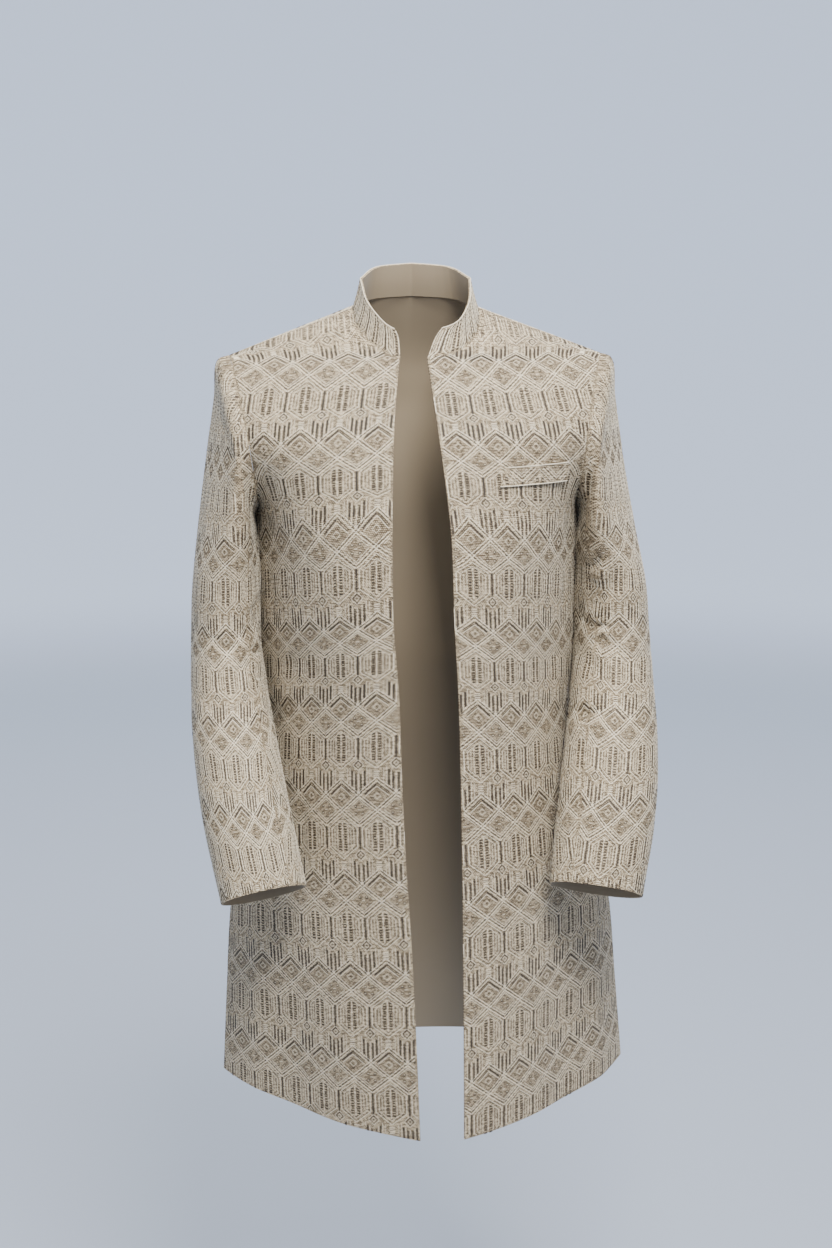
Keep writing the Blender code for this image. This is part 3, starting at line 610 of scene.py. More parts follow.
# %% The fronts and the back as grids
COLUMNS = 46
ROWS_PER_SECTION = 16
ROWS_PER_YOKE_SECTION = 5


def body_stations(table):
    below = divided(table, table[0].station, UNDERARM, ROWS_PER_SECTION)
    above = divided(table, UNDERARM, SHOULDER, ROWS_PER_YOKE_SECTION)
    return np.concatenate([below, above[1:]]), len(below) - 1


shares = np.linspace(0, 1, COLUMNS + 1)
front_stations, underarm = body_stations(FRONT)
back_stations, _ = body_stations(BACK)
front_neck = int(np.argmin(np.abs(front_stations - FRONT_NECK)))
back_neck = int(np.argmin(np.abs(back_stations - BACK_NECK)))


def finished_half(table, stations, panel, side, neck):
    """A half panel with its folds pressed in, its side let out and its underarm softened."""
    grid = half_panel(table, stations, shares, side, neck)
    grid = folded(grid, stations, shares, panel, side)
    grid = eased(grid, stations, shares, side)
    return softened(grid, stations, shares, UNDERARM, SOFT_REACH)


fronts = {s: finished_half(FRONT, front_stations, "front", s, FRONT_NECK) for s in (-1, 1)}
backs = {s: finished_half(BACK, back_stations, "back", s, BACK_NECK) for s in (-1, 1)}
print("each front and half back:", fronts[1].shape[0], "rows of", fronts[1].shape[1], "points")

# %% The sleeves as grids
SLEEVE_PARTS = [4, 8, 8, 10] + [10] * 5
CAD_SLEEVE_PARTS = [1, 2, 2, 3] + [3] * 5
LARGE_HOLLOW_SHARE = 0.6
LEAST_STEP = 0.012


def ellipse_ring(ring, direction, turns, side):
    """A ring of a sleeve square to its direction, with 0 at the front and 90 outside."""
    down = direction / np.linalg.norm(direction)
    across = np.array([side, 0.0, 0.0])
    across -= down * (across @ down)
    across /= np.linalg.norm(across)
    forward = np.cross(down, across) * -side
    forward *= -np.sign(forward[1])
    middle = np.array([side * ring.middle_x, ring.middle_y, ring.height])
    return (
        middle
        + ring.half_width * np.sin(turns)[:, None] * across
        + ring.half_depth * np.cos(turns)[:, None] * forward
    )


def sleeve_turns(armhole):
    """The turn round the sleeve of each point of its armhole, spread by length."""
    closed = np.vstack([armhole, armhole[:1]])
    along = np.concatenate([[0], np.cumsum(np.linalg.norm(np.diff(closed, axis=0), axis=1))])
    return -math.pi / 2 + 2 * math.pi * along[:-1] / along[-1]


def head_ring(armhole, turns, side, head):
    """A ring of the sleeve head, worked out from the armhole's own points."""
    height = (1 + np.sin(turns)) / 2
    out = head.out_underarm + (head.out_top - head.out_underarm) * height
    drop = head.drop_underarm + (head.drop_top - head.drop_underarm) * height
    swell = -head.swell * np.cos(turns)
    return armhole + np.stack([side * out, swell, -drop], axis=1)


def sleeve_rings(side):
    """The points of a sleeve, rings by points, from its armhole to its cuff."""
    armhole = np.vstack([fronts[side][underarm:, -1], backs[side][underarm:, -1][::-1][1:-1]])
    armhole = armhole + np.array([side * SEAM_GAP, 0, 0])
    turns = sleeve_turns(armhole)
    table = SLEEVE[side]
    middles = np.array([(side * r.middle_x, r.middle_y, r.height) for r in table])
    directions = np.gradient(middles, axis=0)
    directions[0] = (0, 0, -1)
    named = [armhole, *(head_ring(armhole, turns, side, head) for head in HEAD)]
    named += [ellipse_ring(r, d, turns, side) for r, d in zip(table, directions)]
    named = np.array(named)
    steps = np.linalg.norm(np.diff(named.mean(axis=1), axis=0), axis=1)
    stations = np.concatenate([[0], np.cumsum(np.maximum(steps, LEAST_STEP))])
    wanted = np.concatenate(
        [stations[:1]] + [np.linspace(a, b, n + 1)[1:]
                          for a, b, n in zip(stations, stations[1:], SLEEVE_PARTS)]
    )
    flat = through(stations, named.reshape(len(named), -1), wanted)
    return flat.reshape(len(wanted), -1, 3), turns, wanted, stations


print("rows of points down each part of a sleeve:", SLEEVE_PARTS)

# %% Press the hollows into the sleeves
def press_hollows(rings, turns, down, hollows):
    """The rings of a sleeve with its soft hollows pressed in towards its middle."""
    inward = rings.mean(axis=1, keepdims=True) - rings
    inward /= np.linalg.norm(inward, axis=2, keepdims=True)
    depth = np.zeros(rings.shape[:2])
    for hollow in hollows:
        turn = (turns[None, :] - math.radians(hollow.turn) + math.pi) % (2 * math.pi) - math.pi
        across = turn / math.radians(hollow.half_turn)
        along = (down[:, None] - hollow.down - hollow.slant * turn) / hollow.half_height
        depth += hollow.depth * np.exp(-(across**2)) * trough(along, 1.4, 0.55)
    return rings + inward * depth[:, :, None]


marks = np.concatenate([[0.0], np.cumsum(CAD_SLEEVE_PARTS)]) / sum(CAD_SLEEVE_PARTS)
sleeves = {}
for side in (-1, 1):
    rings, turns, wanted, stations = sleeve_rings(side)
    large = [hollow._replace(depth=hollow.depth * LARGE_HOLLOW_SHARE) for hollow in HOLLOWS[side]]
    down = np.interp(wanted, stations, marks)
    sleeves[side] = (press_hollows(rings, turns, down, large + SMALL_HOLLOWS[side]), turns)
print("each sleeve:", sleeves[1][0].shape[0], "rings of", sleeves[1][0].shape[1], "points")

# %% [markdown]
# ## Where the pattern lies on each piece
#
# Embroidered cloth is bought by the metre, with one repeat of the pattern in every cell of a
# grid, and each piece is cut from it. So each piece needs pattern coordinates: which column
# of the repeat a point is in, and which row. On a real coat the rows aren't quite level and
# not quite even, because the cloth hangs. The table gives, for each row of the pattern, its
# height at the front edge, how much it drops towards the side, and where its first column is.

# %% Rows of the pattern on the body
PatternRow = namedtuple("PatternRow", "row station droop first pitch")
ROWS_ON_FRONT = {
    -1: [
        PatternRow(-1, -0.0100, 0.000, 0.013, 0.0440),
        PatternRow(0, -0.0600, 0.020, 0.013, 0.0445),
        PatternRow(1, -0.1265, -0.070, 0.018, 0.0435),
        PatternRow(2, -0.2175, -0.166, 0.018, 0.0460),
        PatternRow(3, -0.3290, -0.165, 0.018, 0.0465),
        PatternRow(4, -0.4150, -0.175, 0.026, 0.0470),
        PatternRow(5, -0.5175, -0.155, 0.030, 0.0465),
        PatternRow(6, -0.6250, -0.133, 0.032, 0.0455),
        PatternRow(7, -0.7310, -0.140, 0.031, 0.0455),
        PatternRow(8, -0.8360, -0.137, 0.034, 0.0455),
        PatternRow(9, -0.9410, -0.137, 0.034, 0.0455),
    ],
    1: [
        PatternRow(-1, -0.0090, 0.000, 0.020, 0.0440),
        PatternRow(0, -0.0670, 0.070, 0.020, 0.0440),
        PatternRow(1, -0.1360, 0.000, 0.020, 0.0455),
        PatternRow(2, -0.2300, -0.110, 0.022, 0.0465),
        PatternRow(3, -0.3360, -0.130, 0.024, 0.0475),
        PatternRow(4, -0.4300, -0.149, 0.023, 0.0480),
        PatternRow(5, -0.5410, -0.090, 0.025, 0.0470),
        PatternRow(6, -0.6510, -0.043, 0.030, 0.0465),
        PatternRow(7, -0.7590, -0.011, 0.032, 0.0455),
        PatternRow(8, -0.8630, -0.022, 0.032, 0.0455),
        PatternRow(9, -0.9690, -0.020, 0.032, 0.0455),
    ],
}
ROWS_ON_BACK = [
    PatternRow(-1, -0.0190, 0.000, 0.0, 0.0455),
    PatternRow(0, -0.0660, 0.000, 0.0, 0.0455),
    PatternRow(1, -0.1420, 0.000, 0.0, 0.0455),
    PatternRow(2, -0.2450, -0.010, 0.0, 0.0455),
    PatternRow(3, -0.3510, -0.020, 0.0, 0.0455),
    PatternRow(4, -0.4560, -0.030, 0.0, 0.0455),
    PatternRow(5, -0.5620, -0.030, 0.0, 0.0455),
    PatternRow(6, -0.6680, -0.030, 0.0, 0.0455),
    PatternRow(7, -0.7740, -0.030, 0.0, 0.0455),
    PatternRow(8, -0.8800, -0.030, 0.0, 0.0455),
    PatternRow(9, -0.9860, -0.030, 0.0, 0.0455),
]
print("rows of the pattern:", len(ROWS_ON_FRONT[1]), "on each front and the back")

# %% Pattern coordinates of the body
def body_pattern(grid, stations, rows, neck_station):
    """Pattern coordinates, column and row, of each point of a half panel."""
    steps = np.linalg.norm(np.diff(grid, axis=1), axis=2)
    over = np.concatenate([np.zeros((len(grid), 1)), np.cumsum(steps, axis=1)], axis=1)
    start = np.interp(neck_station, stations, grid[:, 0, 0])
    over += np.where(stations > neck_station, np.abs(grid[:, 0, 0] - start), 0.0)[:, None]
    made = np.zeros((*grid.shape[:2], 2))
    numbers = np.array([r.row for r in rows], float)
    for i, station in enumerate(stations):
        for j in range(grid.shape[1]):
            heights = [-(r.station + r.droop * over[i, j]) for r in rows]
            number = np.interp(-station, heights, numbers)
            first = np.interp(number, numbers, [r.first for r in rows])
            pitch = np.interp(number, numbers, [r.pitch for r in rows])
            made[i, j] = ((over[i, j] - first) / pitch, -number)
    return made


front_pattern = {s: body_pattern(fronts[s], front_stations, ROWS_ON_FRONT[s], FRONT_NECK)
                 for s in (-1, 1)}
back_pattern = {s: body_pattern(backs[s], back_stations, ROWS_ON_BACK, BACK_NECK) for s in (-1, 1)}
for s in (-1, 1):
    front_pattern[s][:, :, 0] *= s
    back_pattern[s][:, :, 0] *= s
print("columns on the right front:", round(float(np.ptp(front_pattern[-1][:, :, 0])), 1))

# %% Rows of the pattern on the sleeves
SLEEVE_REPEAT = {-1: (0.0360, 0.1040, 0.0475), 1: (0.0370, 0.1080, 0.0305)}
SLEEVE_COLUMN_TURN = -5
NARROWING = {
    -1: ([-0.65, -0.58, -0.47, -0.32], [1.44, 1.46, 1.12, 1.09]),
    1: ([-0.65, -0.32], [1.0, 1.0]),
}
INNER_DROP = {-1: 0.0, 1: 0.010}


def sleeve_pattern(rings, turns, side):
    """Pattern coordinates of a sleeve: columns by length round it, rows by length down it."""
    width, height, first_row = SLEEVE_REPEAT[side]
    closed = np.concatenate([rings, rings[:, :1]], axis=1)
    round_it = np.linalg.norm(np.diff(closed, axis=1), axis=2)
    over = np.concatenate([np.zeros((len(rings), 1)), np.cumsum(round_it, axis=1)], axis=1)
    ends = np.append(turns, turns[0] + 2 * math.pi)
    middles = rings.mean(axis=1)
    first_full = int(np.argmin(np.abs(middles[:, 2] - SLEEVE[side][0].height)))
    over[:first_full] = over[first_full]
    steps = np.linalg.norm(np.diff(closed[first_full:], axis=0), axis=2)
    below = np.cumsum(steps, axis=0) - closed[first_full, :, 2]
    made = np.zeros((len(rings), rings.shape[1] + 1, 2))
    for i in range(len(rings)):
        start = np.interp(math.radians(SLEEVE_COLUMN_TURN), ends, over[i])
        if i < first_full:
            aside = closed[i] - closed[first_full]
            shift = side * np.cos(ends) * aside[:, 0] + np.sin(ends) * aside[:, 1]
        made[i, :, 0] = (over[i] - start + (shift if i < first_full else 0.0)) / width
        down = -closed[i, :, 2] if i <= first_full else below[i - first_full - 1]
        inner = np.clip((-np.degrees(ends) - 20) / 50, 0, 1)
        inner = inner * np.clip((-middles[i, 2] - 0.46) / 0.12, 0, 1)
        made[i, :, 1] = -(down - first_row - INNER_DROP[side] * inner) / height
        made[i, :, 0] = 1 + (made[i, :, 0] - 1) * np.interp(middles[i, 2], *NARROWING[side])
    made[:, :, 0] *= side
    return made


sleeve_patterns = {s: sleeve_pattern(*sleeves[s], s) for s in (-1, 1)}
print("columns round the right sleeve:", round(float(np.ptp(sleeve_patterns[-1][40, :, 0])), 1))

# %% [markdown]
# ## A piece of cloth with a front and a wrong side
#
# Blender's Solidify could thicken a sheet, but the walls of two panels must meet at a seam
# without crossing. So each piece is made as the CAD has it: the outer face, the same face
# moved inwards along shared normals, and an edge that is turned over between the two. The
# pattern coordinates go into a UV map.

# %% Sheets
class Sheet:
    """One piece of cloth before it gets its thickness."""

    def __init__(self, name, points, faces, pattern):
        self.name = name
        self.points = np.asarray(points, float)
        self.faces = np.asarray(faces, int)
        self.pattern = np.asarray(pattern, float)


def grid_faces(rows, columns):
    index = np.arange(rows * columns).reshape(rows, columns)
    return np.stack([index[:-1, :-1], index[:-1, 1:], index[1:, 1:], index[1:, :-1]],
                    axis=2).reshape(-1, 4)


def corner_normals(points, faces):
    across = points[faces[:, 2]] - points[faces[:, 0]]
    along = points[faces[:, 3]] - points[faces[:, 1]]
    normal = np.cross(across, along)
    total = np.zeros_like(points)
    for k in range(4):
        np.add.at(total, faces[:, k], normal)
    return total


def shared_normals(sheets):
    """The normals of several sheets, with those of points at the same place made one."""
    places = np.round(np.concatenate([s.points for s in sheets]), 5)
    total = np.concatenate([corner_normals(s.points, s.faces) for s in sheets])
    _, same = np.unique(places, axis=0, return_inverse=True)
    same = same.reshape(-1)
    summed = np.zeros((same.max() + 1, 3))
    np.add.at(summed, same, total)
    normals = summed[same]
    normals /= np.linalg.norm(normals, axis=1, keepdims=True) + 1e-12
    ends = np.cumsum([len(s.points) for s in sheets])
    return np.split(normals, ends[:-1])


def facing_out(points, faces):
    """The faces, all turned round if they look towards the middle line of the coat."""
    normals = corner_normals(points, faces)
    middle = points.mean(axis=0) * (0, 0, 1)
    outward = (points - middle) * (1, 1, 0)
    return faces if float((normals * outward).sum()) > 0 else faces[:, ::-1]


def mesh_of(name, points, faces, pattern, slots):
    mesh = bpy.data.meshes.new(name)
    mesh.from_pydata(points.tolist(), [], faces.tolist())
    chart = mesh.uv_layers.new(name="pattern")
    corners = np.zeros(len(mesh.loops), int)
    mesh.loops.foreach_get("vertex_index", corners)
    chart.data.foreach_set("uv", pattern[corners].reshape(-1))
    mesh.polygons.foreach_set("material_index", slots)
    mesh.shade_smooth()
    return mesh


print("a sheet is a grid of points with the pattern's coordinates on it")

# %% Give a piece its thickness
EDGE_ROUNDING = 0.00012
SHARP_TURN = math.radians(50)


def border(faces):
    """The open edges of a sheet, each in the direction of its own face."""
    edges = np.concatenate([faces[:, [k, (k + 1) % 4]] for k in range(4)])
    count = faces.max() + 1
    code = edges[:, 0] * count + edges[:, 1]
    back = edges[:, 1] * count + edges[:, 0]
    return edges[~np.isin(code, back)]


def thickened(sheet, normals, thickness, face_material, back_material):
    """The finished piece: two faces and a rounded edge all round."""
    count = len(sheet.points)
    inner = sheet.points - normals * thickness
    edges = border(sheet.faces)
    rim = np.unique(edges)
    outward = np.zeros_like(sheet.points)
    middle = sheet.points[sheet.faces].mean(axis=1)
    for k in range(4):
        np.add.at(outward, sheet.faces[:, k], sheet.points[sheet.faces[:, k]] - middle)
    outward -= normals * (outward * normals).sum(axis=1, keepdims=True)
    outward /= np.linalg.norm(outward, axis=1, keepdims=True) + 1e-12
    nose = (sheet.points + inner)[rim] / 2 + outward[rim] * EDGE_ROUNDING
    number = np.zeros(count, int)
    number[rim] = 2 * count + np.arange(len(rim))
    a, b = edges[:, 0], edges[:, 1]
    rims = np.concatenate([
        np.stack([b, a, number[a], number[b]], axis=1),
        np.stack([number[b], number[a], a + count, b + count], axis=1),
    ])
    backs = sheet.faces[:, ::-1] + count
    faces = np.concatenate([sheet.faces, backs, rims])
    pattern = np.concatenate([sheet.pattern, sheet.pattern, sheet.pattern[rim]])
    slots = np.concatenate([np.zeros(len(sheet.faces), int), np.ones(len(backs), int),
                            np.zeros(len(rims), int)])
    mesh = mesh_of(sheet.name, np.concatenate([sheet.points, inner, nose]), faces, pattern, slots)
    mesh.set_sharp_from_angle(angle=SHARP_TURN)
    mesh.materials.append(face_material)
    mesh.materials.append(back_material)
    return add(bpy.data.objects.new(sheet.name, mesh))


print("a piece of cloth has a front face, a wrong side and an edge")

# %% Lay out the body
LEAST_LEAN = 0.02


def pulled_back(grid, column, next_one, rows):
    """A grid with one edge column drawn in from its seam by half the seam's gap."""
    moved = grid.copy()
    step = grid[rows, next_one] - grid[rows, column]
    moved[rows, column] += step / np.linalg.norm(step, axis=1, keepdims=True) * SEAM_GAP / 2
    return moved


def as_sheet(name, grid, pattern):
    points = grid.reshape(-1, 3)
    faces = facing_out(points, grid_faces(*grid.shape[:2]))
    return Sheet(name, points, faces, pattern.reshape(-1, 2))


body = [as_sheet(f"cloth_front_{SIDE_NAME[s]}", fronts[s], front_pattern[s]) for s in (-1, 1)]
half_backs = [as_sheet(f"half_back_{SIDE_NAME[s]}", backs[s], back_pattern[s]) for s in (-1, 1)]
body_normals = shared_normals(body + half_backs)


def kept_behind(normals, sheet, edge, side):
    """Normals on an armhole edge turned so that the wall stays on the body's side of it."""
    kept = normals.copy()
    for point in edge:
        k = int(np.argmin(((sheet.points - point) ** 2).sum(axis=1)))
        kept[k, 0] = side * max(side * kept[k, 0], LEAST_LEAN)
        kept[k] /= np.linalg.norm(kept[k])
    return kept


below = slice(0, underarm + 1)
for k, s in enumerate((-1, 1)):
    body_normals[k] = kept_behind(body_normals[k], body[k], fronts[s][underarm:, -1], s)
    body_normals[k + 2] = kept_behind(body_normals[k + 2], half_backs[k], backs[s][underarm:, -1], s)
    body[k].points = pulled_back(fronts[s], -1, -2, below).reshape(-1, 3)
    half_backs[k].points = pulled_back(backs[s], -1, -2, below).reshape(-1, 3)

width = COLUMNS + 1
count = len(half_backs[0].points)
joined = np.arange(count) + count
for i in range(back_neck + 1):
    joined[i * width] = i * width
back_points = np.concatenate([half_backs[0].points, half_backs[1].points])
back_faces = np.concatenate([half_backs[0].faces, joined[half_backs[1].faces]])
back_uv = np.concatenate([half_backs[0].pattern, half_backs[1].pattern])
back_normals = np.concatenate([body_normals[2], body_normals[3]])
used = np.unique(back_faces)
number = np.zeros(2 * count, int)
number[used] = np.arange(len(used))
back = Sheet("cloth_back", back_points[used], number[back_faces], back_uv[used])
sheets = [(body[0], body_normals[0]), (body[1], body_normals[1]), (back, back_normals[used])]
print("sheets of the body:", ", ".join(s.name for s, _ in sheets))

# %% Cut each sleeve in its two pieces
for side in (-1, 1):
    rings, turns = sleeves[side]
    rows, around = rings.shape[:2]
    closed = np.concatenate([rings, rings[:, :1]], axis=1)
    whole = Sheet("sleeve", closed.reshape(-1, 3), grid_faces(rows, around + 1), [])
    axis = rings.mean(axis=1, keepdims=True)
    normals = corner_normals(whole.points, whole.faces).reshape(rows, around + 1, 3)
    normals[:, 0] = normals[:, -1] = normals[:, 0] + normals[:, -1]
    normals /= np.linalg.norm(normals, axis=2, keepdims=True)
    turned = float((normals * (closed - axis)).sum()) < 0
    normals = -normals if turned else normals
    normals[0, :, 0] = side * np.minimum(side * normals[0, :, 0], -LEAST_LEAN)
    normals[0] /= np.linalg.norm(normals[0], axis=1, keepdims=True)
    front_seam = int(np.argmin(np.abs(turns - math.radians(FRONT_SEAM_TURN))))
    back_seam = int(np.argmin(np.abs(turns - math.radians(BACK_SEAM_TURN))))
    top = np.arange(front_seam, back_seam + 1)
    under = np.arange(back_seam, around + front_seam + 1)
    for name, columns in ((f"cloth_top_sleeve_{SIDE_NAME[side]}", top),
                          (f"cloth_under_sleeve_{SIDE_NAME[side]}", under)):
        cut = rings[:, columns % around]
        every = slice(0, rows)
        cut = pulled_back(pulled_back(cut, 0, 1, every), -1, -2, every)
        pattern = sleeve_patterns[side][:, np.minimum(columns, around)].copy()
        late = columns > around
        extra = sleeve_patterns[side][:, around, 0] - sleeve_patterns[side][:, 0, 0]
        pattern[:, late] = sleeve_patterns[side][:, columns[late] % around]
        pattern[:, late, 0] += extra[:, None]
        faces = grid_faces(rows, len(columns))
        faces = faces[:, ::-1] if turned else faces
        sheets.append((Sheet(name, cut.reshape(-1, 3), faces, pattern.reshape(-1, 2)),
                       normals[:, columns % around].reshape(-1, 3)))
print("sheets so far:", ", ".join(s.name for s, _ in sheets))

# %% [markdown]
# ## The stand collar and the pocket welt
#
# The collar is a strip of the same cloth over a stiff band. It stands on the neckline, leans
# in a little and is open in front, where its two ends slant. The welt is a narrow folded
# strip, sewn over the slit of the chest pocket so that the pattern runs on across it.

# %% The collar
COLLAR_FRONT_HEIGHT = 0.0275
COLLAR_BACK_HEIGHT = 0.0370
COLLAR_LEAN = 0.0095
COLLAR_SLANT_RIGHT = 0.006
COLLAR_SLANT_LEFT = 0.017
COLLAR_ROUNDING = 0.005
COLLAR_ROWS = 14
COLLAR_COLUMNS = 150
COLLAR_COLUMN_PITCH = 0.040
COLLAR_FIRST_ROW = 0.44
COLLAR_ROW_SHARE = 0.30
NECK_MIDDLE = (0.0, -0.008, 0.0)


def neckline():
    right = np.vstack([fronts[-1][front_neck:, 0], backs[-1][back_neck:, 0][::-1][1:]])
    left = np.vstack([fronts[1][front_neck:, 0], backs[1][back_neck:, 0][::-1][1:]])
    return np.vstack([right, left[::-1][1:]])


def resampled(line, along):
    steps = np.linalg.norm(np.diff(line, axis=0), axis=1)
    total = np.concatenate([[0], np.cumsum(steps)])
    return np.stack([np.interp(along, total, line[:, k]) for k in range(3)], axis=1)


base = neckline()
inward = (np.array(NECK_MIDDLE) - base) * (1, 1, 0)
inward /= np.linalg.norm(inward, axis=1, keepdims=True)
foot = base + inward * SEAM_GAP
backness = np.clip((foot[:, 1] + 0.09) / 0.16, 0, 1)
top_line = foot + inward * COLLAR_LEAN
top_line[:, 2] += COLLAR_FRONT_HEIGHT + (COLLAR_BACK_HEIGHT - COLLAR_FRONT_HEIGHT) * backness
along = np.concatenate([[0], np.cumsum(np.linalg.norm(np.diff(foot, axis=0), axis=1))])
lines = []
for share in np.linspace(0, 1, COLLAR_ROWS + 1):
    bow = share + 0.10 * math.sin(math.pi * share)
    line = foot * (1 - share) + top_line * share
    line[:, :2] = (foot * (1 - bow) + top_line * bow)[:, :2]
    corner = COLLAR_ROUNDING * share**7
    start = COLLAR_SLANT_RIGHT * share + corner
    end = along[-1] - COLLAR_SLANT_LEFT * share - corner
    place = start + (end - start) * np.linspace(0, 1, COLLAR_COLUMNS)
    steps = np.concatenate([[0], np.cumsum(np.linalg.norm(np.diff(line, axis=0), axis=1))])
    lines.append(resampled(line, place * steps[-1] / along[-1]))
collar_grid = np.array(lines)
flat_length = np.linspace(0, along[-1], COLLAR_COLUMNS)
collar_uv = np.zeros((*collar_grid.shape[:2], 2))
collar_uv[:, :, 0] = flat_length[None, :] / COLLAR_COLUMN_PITCH
drop = 1 - np.linspace(0, 1, COLLAR_ROWS + 1)
collar_uv[:, :, 1] = -(COLLAR_FIRST_ROW + COLLAR_ROW_SHARE * drop)[:, None]
collar = as_sheet("cloth_collar", collar_grid, collar_uv)
sheets.append((collar, shared_normals([collar])[0]))
print("collar:", round(float(along[-1]), 3), "m round the neckline")

# %% The pocket welt
WELT_IN, WELT_OUT = 0.297, 0.759
WELT_LEAN_IN, WELT_LEAN_OUT = 0.064, 0.022
WELT_STATION_IN, WELT_STATION_OUT = -0.1888, -0.1850
WELT_HEIGHT = 0.0188
WELT_ROWS = 9
WELT_COLUMNS = 33
WELT_LIFT = 0.0004


def pattern_on_left_front(station, share):
    """The pattern coordinates at one place on the left front."""
    i = int(np.searchsorted(front_stations, station))
    part = (station - front_stations[i - 1]) / (front_stations[i] - front_stations[i - 1])
    low, high = ([np.interp(share, shares, front_pattern[1][k, :, axis]) for axis in (0, 1)]
                 for k in (i - 1, i))
    return [a + part * (b - a) for a, b in zip(low, high)]


welt_grid, welt_uv = [], []
for up in np.linspace(0, 1, WELT_ROWS):
    across = np.linspace(WELT_IN + WELT_LEAN_IN * up, WELT_OUT + WELT_LEAN_OUT * up, WELT_COLUMNS)
    heights = np.linspace(WELT_STATION_IN, WELT_STATION_OUT, WELT_COLUMNS) + WELT_HEIGHT * up
    welt_grid.append([half_panel(FRONT, np.array([station]), [share], 1, FRONT_NECK)[0, 0]
                      for station, share in zip(heights, across)])
    welt_uv.append([pattern_on_left_front(station, share) for station, share in zip(heights, across)])
welt = as_sheet("cloth_pocket_welt", np.array(welt_grid), np.array(welt_uv))
welt_normals = shared_normals([welt])[0]
welt.points = welt.points + welt_normals * (SEAM_GAP + WELT_CLOTH + WELT_LIFT)
sheets.append((welt, welt_normals))
welt_length = float(np.linalg.norm(welt.points[WELT_COLUMNS - 1] - welt.points[0]))
print("welt:", round(welt_length, 3), "m long")

# %% [markdown]
# ## The ground cloth
#
# Raw silk has a fine uneven weave and a soft sheen. The whole ground of this cloth is quilted
# with rows of tiny running stitches, which give it a dry, grainy look, and the diamonds of
# the pattern are filled in a darker thread, with ladders of tiny dashes beside them. All of
# that is finer than a millimetre or two, so it is colour and bump in the material, in two node
# groups that read the pattern's own coordinates. The thicker stitches that stand up from it
# come later, as real geometry.

# %% Node group: rows of running stitches
stitched, t, start, end = new_group(
    "running stitches",
    [("Pattern", "NodeSocketVector", None), ("Stitches across", "NodeSocketFloat", 20.0),
     ("Stitches down", "NodeSocketFloat", 62.0)],
    [("Height", "NodeSocketFloat"), ("Tone", "NodeSocketFloat")],
)
split = t.node("ShaderNodeSeparateXYZ", start.outputs["Pattern"], output=None)
u = t.math("MULTIPLY", split.outputs["X"], start.outputs["Stitches across"])
v = t.math("MULTIPLY", split.outputs["Y"], start.outputs["Stitches down"])
shift = t.math("MULTIPLY", t.math("MODULO", t.math("FLOOR", v), 2.0), 0.5)
beside = t.math("PINGPONG", t.math("ADD", u, shift), 0.5)
above = t.math("PINGPONG", v, 0.5)
length_edge = t.smooth(beside, 0.06, 0.24, 0.0, 1.0)
side_edge = t.smooth(above, 0.08, 0.42, 0.0, 1.0)
height = t.math("MULTIPLY", length_edge, side_edge)
t.give(end.inputs["Height"], height)
own_column = t.math("FLOOR", t.math("ADD", t.math("ADD", u, shift), 0.5))
own_row = t.math("FLOOR", t.math("ADD", v, 0.5))
number = t.node("ShaderNodeCombineXYZ", own_column, own_row, 0.0)
t.give(end.inputs["Tone"], t.node("ShaderNodeTexWhiteNoise", number, noise_dimensions="3D"))
print("group:", stitched.name)

# %% Node group: the filled diamonds and the finest ladders of the repeat
REPEAT_ACROSS, REPEAT_DOWN = 45.0, 106.0
MIDDLE_OF_FRAMES = REPEAT_ACROSS / 2
DOWN_FROM = 20.0
filled, t, start, end = new_group(
    "filled diamonds",
    [("Pattern", "NodeSocketVector", None)],
    [("Diamond", "NodeSocketFloat"), ("Ladder", "NodeSocketFloat")],
)
split = t.node("ShaderNodeSeparateXYZ", start.outputs["Pattern"], output=None)
beside = t.math("MULTIPLY", t.math("PINGPONG", split.outputs["X"], 0.5), REPEAT_ACROSS)
from_edge = t.math("SUBTRACT", MIDDLE_OF_FRAMES, beside)
down = t.math("ADD", t.math("MULTIPLY", split.outputs["Y"], -REPEAT_DOWN), DOWN_FROM)
down = t.math("SUBTRACT", t.math("FLOORED_MODULO", down, REPEAT_DOWN), DOWN_FROM)


def diamond(across, middle, half_width, half_height):
    wide = t.math("DIVIDE", across, half_width)
    tall = t.math("DIVIDE", t.math("ABSOLUTE", t.math("SUBTRACT", down, middle)), half_height)
    return t.math("ADD", wide, tall)


upper = diamond(beside, 12.6, 18.5, 14.8)
lower = diamond(from_edge, 29.3, 18.0, 14.4)
inside = t.smooth(t.math("MINIMUM", upper, lower), 0.90, 1.02)
small = t.smooth(diamond(from_edge, 81.5, 6.6, 6.0), 0.85, 1.05)
t.give(end.inputs["Diamond"], t.math("MAXIMUM", inside, small))


def ladder(line, middle, half_length, pitch):
    """A line of tiny dark dashes, as far beside the middle of the repeat as line says."""
    near = t.smooth(t.math("ABSOLUTE", t.math("SUBTRACT", beside, line)), 0.35, 0.80)
    along = t.math("ABSOLUTE", t.math("SUBTRACT", down, middle))
    dash = t.math("PINGPONG", t.math("DIVIDE", along, pitch), 0.5)
    within = t.smooth(along, half_length, half_length + 0.8)
    return t.math("MULTIPLY", near, t.math("MULTIPLY", within, t.smooth(dash, 0.10, 0.26)))


ladders = t.math("MAXIMUM", ladder(9.0, 60.9, 11.5, 1.9), ladder(12.7, 61.1, 8.5, 1.9))
t.give(end.inputs["Ladder"], t.math("MAXIMUM", ladders, ladder(4.8, -11.0, 6.6, 2.6)))
print("group:", filled.name)

# %% The embroidered cloth and its plain wrong side, darkened with painted shade
cloth, shader = new_material("embroidered raw silk", 0.78)
t = Tree(cloth.node_tree)
pattern = t.node("ShaderNodeUVMap", uv_map="pattern")
place = t.node("ShaderNodeTexCoord", output=None).outputs["Object"]


